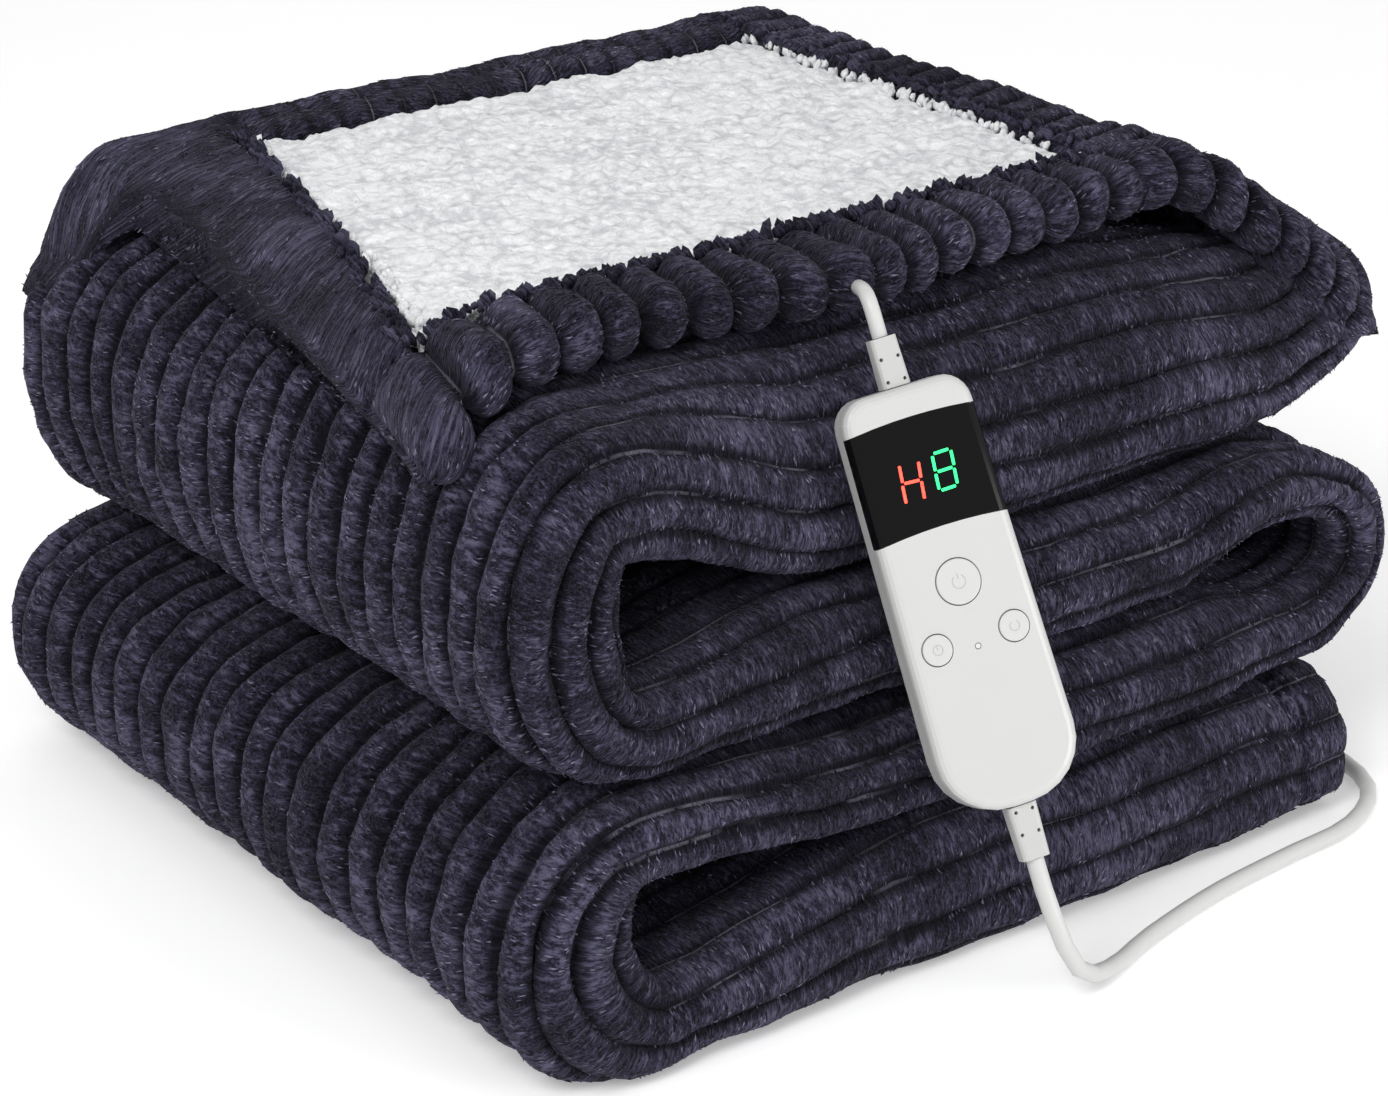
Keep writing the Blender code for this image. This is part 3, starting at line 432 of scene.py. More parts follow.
leadSizes = dict(
    low=0.0060, mains=0.0070, straight=0.0135, upperRelief=0.0190, lowerRelief=0.0210,
    coilRadius=0.0385, coilLift=0.0019, coilCentre=Vector((0.3620, 0.4480, 0.0)), turns=5,
    perTurn=24, plugStart=0.0257, plugHeight=0.00785, finer=24, lowStep=0.0035, mainsStep=0.012,
    shift=(280.0, 322.0))                    # degrees of each turn in which the lead changes lane
caseSizes = dict(length=0.1630, thick=0.0180, place=Vector((0.1728, 0.0117, 0.1466)), lean=24.0,
                 yaw=-22.0, turn=10.9)


def casePose():
    return (Matrix.Translation(corner + caseSizes["place"])
            @ Matrix.Rotation(math.radians(caseSizes["yaw"]), 4, "Z")
            @ Matrix.Rotation(math.radians(90.0 - caseSizes["lean"]), 4, "X")
            @ Matrix.Rotation(math.radians(caseSizes["turn"]), 4, "Z"))


def leadStart(up, reliefLength):
    end = caseSizes["length"] / 2 + gap * 2 + reliefLength
    return [casePose() @ Vector((0.0, up * out, caseSizes["thick"] / 2)) - corner
            for out in (end, end + leadSizes["straight"])]


def smoothRoute(points, spacing):
    ends = [points[0] * 2 - points[1]] + points + [points[-1] * 2 - points[-2]]
    dense = []
    for p, a, b, n in zip(ends, ends[1:], ends[2:], ends[3:]):
        for step in range(leadSizes["finer"]):
            t = step / leadSizes["finer"]
            dense.append(((2 * a) + (b - p) * t + (2 * p - 5 * a + 4 * b - n) * t * t
                          + (3 * a - p - 3 * b + n) * t ** 3) / 2)
    dense.append(points[-1])
    lengths = runningLengths((b - a).length for a, b in zip(dense, dense[1:]))
    count = max(2, round(lengths[-1] / spacing))
    even, stretch = [], 0
    for k in range(count + 1):
        stretch, t = alongPath(lengths, lengths[-1] * k / count, stretch)
        even.append(dense[stretch].lerp(dense[stretch + 1], t))
    return even


rest = leadSizes["mains"] / 2 + 0.0001       # height of the mains lead where it lies on the floor
lowRoute = [Vector(p) for p in [
    (0.1690, 0.0605, 0.2552), (0.1735, 0.0690, 0.2535), (0.1805, 0.0785, 0.2492),
    (0.1885, 0.0870, 0.2440), (0.1930, 0.0945, 0.2402), (0.1980, 0.1040, 0.2387)]]
mainsRoute = [Vector(p) for p in [
    (0.1760, -0.0575, 0.0240), (0.1860, -0.0585, 0.0110), (0.2070, -0.0520, 0.0044),
    (0.2350, -0.0425, rest), (0.2800, -0.0330, rest), (0.3250, -0.0285, rest),
    (0.3650, -0.0250, rest), (0.3960, -0.0060, rest), (0.4070, 0.0300, rest),
    (0.4060, 0.0800, rest), (0.4040, 0.1400, rest), (0.4050, 0.2100, rest),
    (0.4040, 0.2800, rest), (0.4040, 0.3400, rest), (0.4040, 0.3880, 0.0042),
    (0.4040, 0.4233, 0.0054)]]


def coilTurns():
    # five turns lie two across and three up: out low, in low, in middle, in top and out top;
    # a last quarter turn lies out in the middle, where the lead leaves for the plug
    d = leadSizes["mains"]
    lanes = [(0.5, 0.5), (-0.5, 0.5), (-0.5, 1.5), (-0.5, 2.5), (0.5, 2.5), (0.5, 1.5)]
    start, stop = leadSizes["shift"]
    points = []
    perTurn = leadSizes["perTurn"]
    for step in range(leadSizes["turns"] * perTurn + perTurn // 4 + 1):
        angle = step * 360.0 / perTurn
        turn = min(int(angle // 360), leadSizes["turns"] - 1)
        t = ease((angle - turn * 360 - start) / (stop - start))
        out, up = (mix(a, b, t) for a, b in zip(lanes[turn], lanes[turn + 1]))
        a = math.radians(angle)
        points.append(leadSizes["coilCentre"] + Vector((
            math.cos(a) * (leadSizes["coilRadius"] + out * d),
            math.sin(a) * (leadSizes["coilRadius"] + out * d), leadSizes["coilLift"] + up * d)))
    last = points[-1]
    for share in (0.35, 0.7, 1.0):
        points.append(Vector((last.x - leadSizes["plugStart"] * share, last.y,
                              mix(last.z, leadSizes["plugHeight"], ease(share)))))
    return points


def leadPiece(name, route, diameter, material):
    curve = bpy.data.curves.new(name, "CURVE")
    curve.dimensions = "3D"
    curve.bevel_depth = diameter / 2
    curve.bevel_resolution = 6
    curve.use_fill_caps = True
    curve.resolution_u = 4
    curve.materials.append(material)
    spline = curve.splines.new("POLY")
    spline.points.add(len(route) - 1)
    for slot, point in zip(spline.points, route):
        slot.co = (*(corner + point), 1.0)
    spline.use_smooth = True
    piece = bpy.data.objects.new(name, curve)
    bpy.context.scene.collection.objects.link(piece)
    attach(piece, "blanket")
    return piece


def routeLength(route):
    return sum((b - a).length for a, b in zip(route, route[1:]))


lowPoints = smoothRoute(leadStart(1, leadSizes["upperRelief"]) + lowRoute, leadSizes["lowStep"])
lowLead = leadPiece("low_voltage_lead", lowPoints, leadSizes["low"], leadVinyl)
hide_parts("low_lead")
mainsStart = leadStart(-1, leadSizes["lowerRelief"])
mainsPoints = smoothRoute(mainsStart + mainsRoute, leadSizes["mainsStep"]) + coilTurns()[1:]
mainsLead = leadPiece("mains_lead_and_coil", mainsPoints, leadSizes["mains"], leadVinyl)
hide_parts("mains_lead", "mains_coil")
print("leads", round(routeLength(lowPoints), 3), round(routeLength(mainsPoints), 3))


cloth = dict(
    backY=0.395, backRound=0.026, ribs=44, ribDepth=0.0078, pressed=0.30, ribStart=0.215,
    wander=0.0044, underReach=0.014, armAt=(0.15, 0.30), foldReach=0.017, spreadX=0.3550,
    layerDepth=0.55, foldSteps=28, layerStep=0.0108, overSteps=12, overStep=0.0027,
    cornerSteps=20, backSteps=12, lowest=0.0004)
# where the points of one rib lie, as shares of its width from groove to groove
ribShares = [0.0, 0.07, 0.21, 0.40, 0.60, 0.79, 0.93]
# how ribs stray sideways: waves per metre along, per rib across, offset, share of the wander
strayRows = [(9.0, 0.55, 3.1, 1.0), (26.0, 3.7, 8.3, 0.45)]
# how a rib's depth changes: waves per metre along, per rib across, offset, share of the depth
depthRow = (14.0, 1.9, 5.7, 0.35)
# low, high, front, rise, chin of each layer, from the floor up
layers = [(0.0000, 0.0590, -0.010, 0.028, 0.24), (0.0620, 0.1030, 0.001, 0.050, 0.25),
          (0.1060, 0.1500, 0.018, 0.050, 0.25), (0.1530, 0.2370, 0.038, 0.080, 0.20)]
# outer side: x of the tip and of the arms' ends, lowest and highest z; inside: share of the way
# round, with x and z of the inner side, or ply, the cloth's even thickness
folds = [
    dict(side=-1, low=0.0000, high=0.1030, tip=-0.037, start=0.028, front=-0.012,
         frontOut=0.002, square=0.86, droop=0.0, outOpen=0.30,
         inside=[(0.00, (0.0280, 0.0350)), (0.15, (0.0270, 0.0370)), (0.30, (0.0225, 0.0420)),
                 (0.50, (0.0200, 0.0520)), (0.70, (0.0225, 0.0620)), (0.85, (0.0270, 0.0670)),
                 (1.00, (0.0280, 0.0690))]),
    dict(side=1, low=0.0620, high=0.1500, tip=0.424, start=0.362, front=0.006, frontOut=0.018,
         square=0.90, droop=0.0, outOpen=0.30, ply=0.028),
    dict(side=-1, low=0.1060, high=0.2360, tip=-0.022, start=0.038, front=0.012,
         frontOut=0.026, square=0.86, droop=0.0, outOpen=0.30,
         inside=[(0.00, (0.0380, 0.1440)), (0.15, (0.0372, 0.1460)), (0.30, (0.0360, 0.1540)),
                 (0.50, (0.0365, 0.1650)), (0.70, (0.0380, 0.1760)), (0.85, (0.0385, 0.1820)),
                 (1.00, (0.0380, 0.1840))]),
    dict(side=1, low=0.1530, high=0.2650, tip=0.466, start=0.372, front=0.042, frontOut=0.086,
         square=1.0, droop=0.046, outOpen=1.0, lowReach=0.066, lowChin=0.80,
         inside=[(0.00, (0.366, 0.2260)), (0.15, (0.384, 0.2235)), (0.30, (0.394, 0.2220)),
                 (0.45, (0.399, 0.2225)), (0.60, (0.400, 0.2240)), (0.75, (0.397, 0.2265)),
                 (0.90, (0.386, 0.2335)), (1.00, (0.372, 0.2400))])]
# how far the right-hand folds reach at each depth, as a share of their reach past spreadX
foldSpread = [(0.080, 1.00), (0.150, 0.80), (0.395, 0.66)]
# x, low, high, inset, ribs along the bottom layer's sewn end
hem = [(0.3835, 0.018, 0.042, 0.012, 0.0), (0.3820, 0.012, 0.048, 0.008, 0.2),
       (0.3800, 0.006, 0.055, 0.003, 0.4), (0.3770, 0.003, 0.058, 0.001, 0.6),
       (0.3700, 0.001, 0.060, 0.000, 0.9), (0.3630, 0.000, 0.060, 0.000, 1.0),
       (0.3580, 0.000, 0.058, 0.002, 0.8), (0.3550, 0.000, 0.054, 0.004, 0.6),
       (0.3525, 0.000, 0.057, 0.002, 0.8), (0.3490, 0.000, 0.059, 0.000, 1.0)]
fields = ("x", "z", "headX", "headZ", "thick", "front", "back", "reachLeft", "reachRight", "chin",
          "openLeft", "openRight", "ribs")


def layerStation(index, x, low=None, high=None, inset=0.0, ribs=1.0):
    lowest, highest, front, rise, chin = layers[index]
    low = lowest if low is None else low
    high = highest if high is None else high
    toLeft = index % 2 == 0
    below = 0.0 if index == 0 else cloth["pressed"]
    under, pressed = cloth["underReach"], cloth["pressed"]
    return dict(
        x=x, z=(low + high) / 2, headX=-1.0 if toLeft else 1.0, headZ=0.0, thick=high - low,
        front=front + inset, back=cloth["backY"] - inset, reachLeft=under if toLeft else rise,
        reachRight=rise if toLeft else under, chin=chin if toLeft else 1.0 - chin,
        openLeft=below if toLeft else pressed, openRight=pressed if toLeft else below,
        ribs=ribs * cloth["layerDepth"])


def power(value, exponent):
    return math.copysign(abs(value) ** exponent, value)


def foldOuter(fold, share):
    # a point on the outer side of a fold, and the direction that points out of it
    side, square = fold["side"], fold["square"]
    wide = abs(fold["tip"] - fold["start"])
    tall, middle = (fold["high"] - fold["low"]) / 2, (fold["high"] + fold["low"]) / 2
    across, rise = math.sin(math.pi * share), -math.cos(math.pi * share)
    across = max(across, 0.0)
    outer = Vector((fold["start"] + side * wide * power(across, square), 0,
                    middle + tall * power(rise, square) - fold["droop"] * across * (1 + rise) / 2))
    out = Vector((side * power(across, 2 - square) / wide, 0,
                  power(rise, 2 - square) / tall)).normalized()
    return outer, out, across


def foldStation(fold, share, lowerOpen):
    side = fold["side"]
    outer, out, across = foldOuter(fold, share)
    reach, chin = cloth["foldReach"], 0.5
    if "inside" in fold:
        insideX, insideZ = readPair(fold["inside"], share)
        through = outer - Vector((insideX, 0, insideZ))
        thick, out = through.length, through.normalized()
    else:
        thick = fold["ply"]
    if fold is folds[-1]:
        reach = mix(fold["lowReach"], reach, ease(share * 1.7))
        chin = mix(fold["lowChin"], chin, ease(share * 1.5))
    centre = outer - out * thick / 2
    armOpen = lowerOpen if share < 0.5 else fold["outOpen"]
    opened = mix(armOpen, 1.0, min(1.0, across * 1.6))
    pressed = cloth["pressed"]
    return dict(
        x=centre.x, z=centre.z, headX=-side * out.z, headZ=side * out.x, thick=thick,
        front=mix(fold["front"], fold["frontOut"], share), back=cloth["backY"],
        reachLeft=reach, reachRight=cloth["foldReach"], chin=chin,
        openLeft=opened if side < 0 else pressed, openRight=opened if side > 0 else pressed,
        ribs=mix(cloth["layerDepth"], 1.0, ease(across * 2.2)))


def between(a, b, t):
    soft = ease(t)
    station = {key: mix(a[key], b[key], soft) for key in fields}
    station["x"] = mix(a["x"], b["x"], t)
    return station


def clothStations():
    stations = [layerStation(0, *row) for row in hem]
    for index, fold in enumerate(folds):
        arm = cloth["armAt"] if index % 2 else cloth["armAt"][::-1]
        lowerOpen = 0.0 if index == 0 else cloth["pressed"]
        steps = cloth["foldSteps"] * (2 if fold is folds[-1] else 1)
        around = [foldStation(fold, step / steps, lowerOpen) for step in range(steps + 1)]
        for target in [layerStation(index, x) for x in arm] + [around[0]]:
            last = stations[-1]
            count = max(1, round(abs(target["x"] - last["x"]) / cloth["layerStep"]))
            stations += [between(last, target, (k + 1) / count) for k in range(count)]
        stations += around[1:]
    # the last fold runs on to the pile's right-hand edge, on the flap
    last = stations[-1]
    for k in range(1, cloth["overSteps"] + 1):
        stations.append(dict(last, x=last["x"] - cloth["overStep"] * k))
    return stations


def sectionOutline(station):
    half = station["thick"] / 2
    chin = half - station["chin"] * station["thick"]
    arc = quarterTurns(0, 1, cloth["cornerSteps"])
    start = cloth["ribStart"]
    points = [(start, half, station["openLeft"])]
    for a in arc:
        points.append((station["front"] + station["reachLeft"] * (1 - math.sin(a)),
                       chin + (half - chin) * math.cos(a),
                       mix(station["openLeft"], 1.0, math.sin(a))))
    for a in arc[1:]:
        points.append((station["front"] + station["reachRight"] * (1 - math.cos(a)),
                       chin - (chin + half) * math.sin(a),
                       mix(station["openRight"], 1.0, math.cos(a))))
    for a in quarterTurns(-1, 1, cloth["backSteps"]):
        opened = station["openLeft"] if a > 0 else station["openRight"]
        points.append((station["back"] - cloth["backRound"] * (1 - math.cos(a)),
                       half * math.sin(a), mix(1.0, opened, abs(math.sin(a)))))
    points.append((start, half, station["openLeft"]))
    return points


def lobe(t):
    # cross-section of one rib: round on top, sharp at its grooves
    return (1 - abs(2 * t - 1) ** 2.4) ** 0.62


def waves(row, travelled, rib, size=1.0):
    along, across, offset, share = row
    return size * share * noise.noise(Vector((travelled * along, rib * across, offset)))


def clothRing(station, travelled):
    outline = sectionOutline(station)
    lengths = runningLengths(math.dist(a[:2], b[:2]) for a, b in zip(outline, outline[1:]))
    pitch = lengths[-1] / cloth["ribs"]
    head = Vector((station["headX"], 0, station["headZ"])).normalized()
    left = Vector((-head.z, 0, head.x))
    ring, edges, stretch = [], [], 0
    for rib in range(cloth["ribs"] + 1):
        stray = sum(waves(row, travelled, rib, cloth["wander"]) for row in strayRows)
        edges.append(rib * pitch + (stray if 0 < rib < cloth["ribs"] else 0.0))
    for k in range(cloth["ribs"] * len(ribShares) + 1):
        rib, step = divmod(k, len(ribShares))
        share = ribShares[step]
        at = edges[rib] if step == 0 else mix(edges[rib], edges[rib + 1], share)
        stretch, t = alongPath(lengths, at, stretch)
        a, b = outline[stretch], outline[stretch + 1]
        y, height, opened = (mix(p, q, t) for p, q in zip(a, b))
        alongY, alongZ = b[0] - a[0], b[1] - a[1]
        size = math.hypot(alongY, alongZ)
        uneven = 1.0 + waves(depthRow, travelled, rib)
        depth = cloth["ribDepth"] * opened * station["ribs"] * uneven * (1 - lobe(share))
        y -= alongZ / size * depth
        height += alongY / size * depth
        point = Vector((station["x"], y, station["z"])) + left * height
        if point.x > cloth["spreadX"]:
            point.x = mix(cloth["spreadX"], point.x, readTable(foldSpread, point.y))
        ring.append((corner + point, (travelled, rib + share)))
    return ring


def plushCloth():
    stations = clothStations()
    rings, travelled = [], 0.0
    for number, station in enumerate(stations):
        if number:
            before = stations[number - 1]
            travelled += math.hypot(station["x"] - before["x"], station["z"] - before["z"])
        rings.append(clothRing(station, travelled))
    columns, rows = len(rings[0]) - 1, len(rings) - 1
    bm, grid = gridMesh(columns, rows, lambda column, row: rings[row][column])
    for row in (0, rows):
        corners = [grid[column, row] for column in range(columns)]
        closeEnd(bm, corners, [Vector((vert.co.y, vert.co.z, 0)) for vert in corners])
    return bm


def rumple(bm, soft, lumps, fine=0.00045, keepOff=()):
    # soft dents, lumps of brushed pile and a fine unevenness, along each vertex's normal;
    # keepOff lists places, each with a radius, where the skin stays as it is
    bm.normal_update()
    moves = []
    for vert in bm.verts:
        p = vert.co
        push = soft * noise.noise(p * 17.0) + lumps * noise.noise(p * 52.0 + Vector((3, 1, 7)))
        push += fine * noise.noise(p * 210.0)
        for place, radius in keepOff:
            push *= ease(((p - place).length - radius * 0.5) / (radius * 0.5))
        moves.append(vert.normal * push)
    for vert, move in zip(bm.verts, moves):
        vert.co += move
        vert.co.z = max(vert.co.z, cloth["lowest"])


clothMesh = plushCloth()
caseTop = casePose() @ Vector((0.0, 0.07, 0.0))
bmesh.ops.recalc_face_normals(clothMesh, faces=clothMesh.faces)
topFace = max(clothMesh.faces, key=lambda f: f.calc_center_median().z)
if topFace.normal.z < 0:
    bmesh.ops.reverse_faces(clothMesh, faces=clothMesh.faces)
rumple(clothMesh, soft=0.0030, lumps=0.0018, keepOff=[(caseTop, 0.06)])
plushPiece = addPiece("folded_plush", clothMesh, plush)
print("plush", len(plushPiece.data.polygons), "faces")

flap = dict(
    low=0.2400, seat=0.2500, top=0.2630, right=0.344, back=0.389, hemLift=0.0010, bumps=17,
    perBump=10, bumpDepth=0.0100, bumpWander=0.12, proud=0.0020, roll=0.011, rollX=0.036,
    rollRadius=0.0640, rollSink=0.0065, windowNear=0.121, windowFar=0.352, borderSteps=30,
    borderAt=0.09, lastBump=0.88, endInset=0.0050, tail=0.14, tailThin=0.0075, earY=0.325,
    earX=0.030, earSink=0.0060, earThick=0.40)
# x of the pile's left edge, x of the flap's left end and y of its front, at places across
windowLeft = [(0.060, 0.004), (0.120, 0.014), (0.200, 0.034), (0.310, 0.064), (0.350, 0.075),
              (0.389, 0.086)]
edgeLeft = [(0.060, -0.026), (0.120, -0.013), (0.200, 0.001), (0.295, 0.018), (0.330, 0.020),
            (0.342, 0.012), (0.350, -0.004), (0.360, -0.020), (0.372, -0.032), (0.389, -0.035)]
flapFront = [(-0.030, 0.064), (0.020, 0.080), (0.080, 0.086), (0.140, 0.078), (0.185, 0.068),
             (0.230, 0.080), (0.344, 0.089)]


# where the flap's seat and its underside have points, and the back border's y and z
# from the pile's far edge and the flap's top
seatRows = (0.145, 0.170, 0.200, 0.230, 0.260, 0.280, 0.295, 0.312, 0.330, 0.342)
underRows = (0.372, 0.360, 0.350, *seatRows[:4:-1], 0.255, 0.230)
backBorder = [(0.004, -0.0008), (0.011, 0.0008), (0.016, -0.0012), (0.018, -0.0022),
              (0.020, -0.0010), (0.026, 0.0006)]


def rollDown(x, y, z):
    # the flap rolls over the left fold beyond rollX
    if x < flap["rollX"]:
        turn = (flap["rollX"] - x) / flap["rollRadius"]
        radius = flap["rollRadius"] + z - flap["low"] - flap["rollSink"] * ease(turn * 1.3)
        x = flap["rollX"] - radius * math.sin(turn)
        z = flap["low"] - flap["rollRadius"] + radius * math.cos(turn)
    return corner + Vector((x, y, z))


def flapOutline(front, thin, seatUp):
    # the flap's section, once round from the middle of its underside, as y, z and the share
    # of the bumps' depth; seatUp fills the pile's seat
    low, top = flap["low"] + thin, flap["top"] - thin
    lift = low + flap["hemLift"]
    seat = mix(flap["seat"], top, seatUp)
    middle, half = (lift + top) / 2, (top - lift) / 2
    near, far, back = flap["windowNear"], flap["windowFar"], flap["back"]
    points = [(0.200, low, 0.0), (0.160, low, 0.0), (0.128, low + 0.001, 0.1),
              (front + 0.026, lift - 0.001, 0.5)]
    # round front
    for a in quarterTurns(-1, 1, 6):
        points.append((front + flap["roll"] * (1 - math.cos(a)), middle + half * math.sin(a), 1.0))
    # border up to the near edge of the pile, which lies in its seat
    rolled = front + flap["roll"]
    points += [(mix(rolled, near, 0.35), top + 0.0006, 1.0),
               (mix(rolled, near, 0.70), top + 0.0003, 1.0), (near - 0.003, top - 0.0016, 0.8),
               (near, top - 0.0045, 0.4), (near + 0.002, seat, 0)]
    points += [(y, seat, 0.0) for y in (*seatRows, far - 0.002)]
    # back border with its seam, and the back edge
    points.append((far, mix(top - 0.004, seat, seatUp), 0.0))
    points += [(far + y, top + z, 0.0) for y, z in backBorder]
    points += [(back - 0.005, top - 0.0020, 0.0), (back - 0.001, top - 0.0070, 0.0),
               (back, (low + top) / 2, 0.0), (back - 0.002, low + 0.005, 0.0),
               (back - 0.008, low + 0.001, 0.0)]
    return points + [(y, low, 0.0) for y in underRows]


def pressIn(outline, inset):
    # the closed outline with each point moved inwards by its share of the inset
    moved = []
    for k, (y, z, depth) in enumerate(outline):
        before, after = outline[k - 1], outline[(k + 1) % len(outline)]
        tangent = Vector((after[0] - before[0], after[1] - before[1])).normalized()
        moved.append((y + tangent.y * inset * depth, z - tangent.x * inset * depth))
    return moved


def acrossFlap(y, share, beyond):
    # x at a share of the way from the right-hand end to the pile's left edge, and beyond it
    return mix(mix(flap["right"], readTable(windowLeft, y), share), readTable(edgeLeft, y), beyond)


def earHeight(x, y, z):
    # the back left corner is thinner and hangs lower
    ear = ease((y - flap["earY"]) / 0.030) * ease((flap["earX"] - x) / 0.05)
    return mix(z, flap["low"] - flap["earSink"] + (z - flap["low"]) * flap["earThick"], ear)


def flapMesh():
    bumps, left = flap["bumps"], flap["borderSteps"]
    columns = bumps * flap["perBump"]
    sections, flats = [], []
    for column in range(columns + left + 1):
        share, beyond = min(1.0, column / columns), max(0.0, (column - columns) / left)
        front = readTable(flapFront, acrossFlap(flap["borderAt"], share, beyond))
        tail = max(0.0, beyond - (1 - flap["tail"])) / flap["tail"]
        thin = flap["tailThin"] * (1 - math.sqrt(max(0.0, 1 - tail * tail)))
        outline = flapOutline(front + thin, thin, min(1.0, beyond * 8))
        stray = flap["bumpWander"] * noise.noise(Vector((share * 9.0, 2.0, 0.0)))
        t = (share * bumps + stray) % 1.0 if 0 < share < 1 else 0.0
        if 0 < beyond <= flap["lastBump"]:
            t = beyond / flap["lastBump"]
        inset = flap["bumpDepth"] * (1 - lobe(t)) - flap["proud"]
        if beyond > flap["lastBump"]:
            inset = flap["endInset"]
        rib = share * bumps + (0.10 + 0.78 * beyond if beyond > 0 else 0.0)
        section, flat, along = [], [], 0.0
        for k, ((y, z, _), (pressedY, pressedZ)) in enumerate(zip(outline, pressIn(outline, inset))):
            x = acrossFlap(y, share, beyond)
            height = earHeight(x, y, pressedZ)
            along += math.dist((y, z), outline[k - 1][:2]) if k else 0.0
            section.append((rollDown(x, pressedY, height), (along, rib + markOff)))
            flat.append(Vector((pressedY, height, 0)))
        sections.append(section)
        flats.append(flat)
    return tubeMesh(sections, flats)


# the flap's bumpy border runs on over the right-hand fold, stop being a share of the way round
border = dict(startX=0.336, stop=0.56, straightSteps=16, foldSteps=160, pitch=0.0190, perBump=11,
              bumpDepth=0.0100, proud=0.0015, taper=0.06, tail=0.14, smallest=0.15, drop=0.0110,
              closer=0.80, roundBack=0.0125, roundUp=0.0130, roundMiddle=-0.0085)
borderFront = [(0.00, 0.0890), (0.20, 0.0760), (0.45, 0.0620), (0.75, 0.0520), (1.00, 0.0480)]
# the outline behind and under its round front, as back, up and share of the bumps' depth
borderBack = [(0.020, 0.0045, 1.0), (0.027, 0.0030, 0.8), (0.034, -0.0020, 0.4),
              (0.037, -0.0100, 0.0)]
borderUnder = [(0.030, -0.0200, 0.3), (0.018, -0.0213, 0.7)]


def borderMesh():
    fold = folds[-1]
    path = []
    straight = fold["start"] - border["startX"]
    for k in range(border["straightSteps"]):
        x = border["startX"] + straight * (k / border["straightSteps"])
        path.append((Vector((x, 0, fold["high"])), Vector((0, 0, 1))))
    for k in range(border["foldSteps"] + 1):
        path.append(foldOuter(fold, mix(1.0, border["stop"], k / border["foldSteps"]))[:2])
    lengths = runningLengths((b[0] - a[0]).length for a, b in zip(path, path[1:]))
    count = round(lengths[-1] / border["pitch"]) * border["perBump"]
    front = [(border["roundBack"] * (1 - math.cos(a)),
              border["roundMiddle"] + border["roundUp"] * math.sin(a), 1.0)
             for a in quarterTurns(-1, 1, 6)]
    outline = borderUnder + front + borderBack
    sections, flats, stretch = [], [], 0
    for column in range(count + 1):
        stretch, t = alongPath(lengths, lengths[-1] * column / count, stretch)
        outer, out = (mix(a, b, t) for a, b in zip(path[stretch], path[stretch + 1]))
        done = column / count
        frontY = readTable(borderFront, done)
        tail = max(0.0, done - 1 + border["tail"]) / border["tail"]
        size = 1 - border["taper"] * done
        size *= max(border["smallest"], math.sqrt(max(0.0, 1 - tail * tail)))
        lobeShare = lobe(column / border["perBump"] % 1.0)
        inset = border["bumpDepth"] * (1 - lobeShare) - border["proud"]
        section, flat, along = [], [], 0.0
        for k, (back, up) in enumerate(pressIn(outline, inset)):
            along += math.dist(outline[k][:2], outline[k - 1][:2]) if k else 0.0
            place = outer + out.normalized() * up * size
            place.z -= border["drop"] * done
            if place.x > cloth["spreadX"]:
                place.x = mix(cloth["spreadX"], place.x, border["closer"])
            section.append((corner + place + Vector((0, frontY + back * size, 0)),
                            (along, column / border["perBump"] + markOff)))
            flat.append(Vector((back, up, 0)))
        sections.append(section)
        flats.append(flat)
    return tubeMesh(sections, flats)


flapBm = flapMesh()
borderData = bpy.data.meshes.new("border")
borderBm = borderMesh()
borderBm.to_mesh(borderData)
borderBm.free()
flapBm.from_mesh(borderData)
bpy.data.meshes.remove(borderData)
bmesh.ops.recalc_face_normals(flapBm, faces=flapBm.faces)
rumple(flapBm, soft=0.0012, lumps=0.0022)
flapPiece = addPiece("turned_back_flap", flapBm, plush)
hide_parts("blanket_cloth")

fibres = dict(count=44000, spare=2.6, length=(0.0017, 0.0033), wide=(0.0010, 0.0018), sink=0.0004,
              rise=0.10, moreRise=0.16, rayLift=0.0012, clear=0.0065, swirlWaves=40.0, swirl=0.55,
              turnWaves=15.0, turnAbove=-0.08, loose=0.35, lowest=0.0002, seed=31,
              heights=(-1.0, 0.105, 0.190, 1.0))


def unitRows(rows):
    # tiny keeps a row of zeros from dividing by zero
    tiny = 1e-12
    return rows / (np.linalg.norm(rows, axis=1, keepdims=True) + tiny)


def readColumn(items, name, width, kind=float):
    values = np.empty(len(items) * width, dtype=kind)
    items.foreach_get(name, values)
    return values.reshape(-1, width)


def skinArrays(piece):
    # points, normals, triangles and the direction across the ribs on each triangle
    mesh = piece.data
    mesh.calc_loop_triangles()
    points = readColumn(mesh.vertices, "co", 3)
    normals = readColumn(mesh.vertices, "normal", 3)
    corners = readColumn(mesh.loop_triangles, "vertices", 3, np.int64)
    loops = readColumn(mesh.loop_triangles, "loops", 3, np.int64)
    marks = readColumn(mesh.uv_layers["ribs"].data, "uv", 2)[loops]
    one, two = (points[corners[:, k]] - points[corners[:, 0]] for k in (1, 2))
    u1, u2 = (marks[:, k, :1] - marks[:, 0, :1] for k in (1, 2))
    v1, v2 = (marks[:, k, 1:] - marks[:, 0, 1:] for k in (1, 2))
    turned = np.where(u1 * v2 - u2 * v1 < 0, -1.0, 1.0)
    return points, normals, corners, unitRows((u1 * two - u2 * one) * turned)


def joinedSkins(pieces):
    points, normals, corners, across, offset = [], [], [], [], 0
    for piece in pieces:
        skin = skinArrays(piece)
        points.append(skin[0])
        normals.append(skin[1])
        corners.append(skin[2] + offset)
        across.append(skin[3])
        offset += len(skin[0])
    return [np.concatenate(rows) for rows in (points, normals, corners, across)]


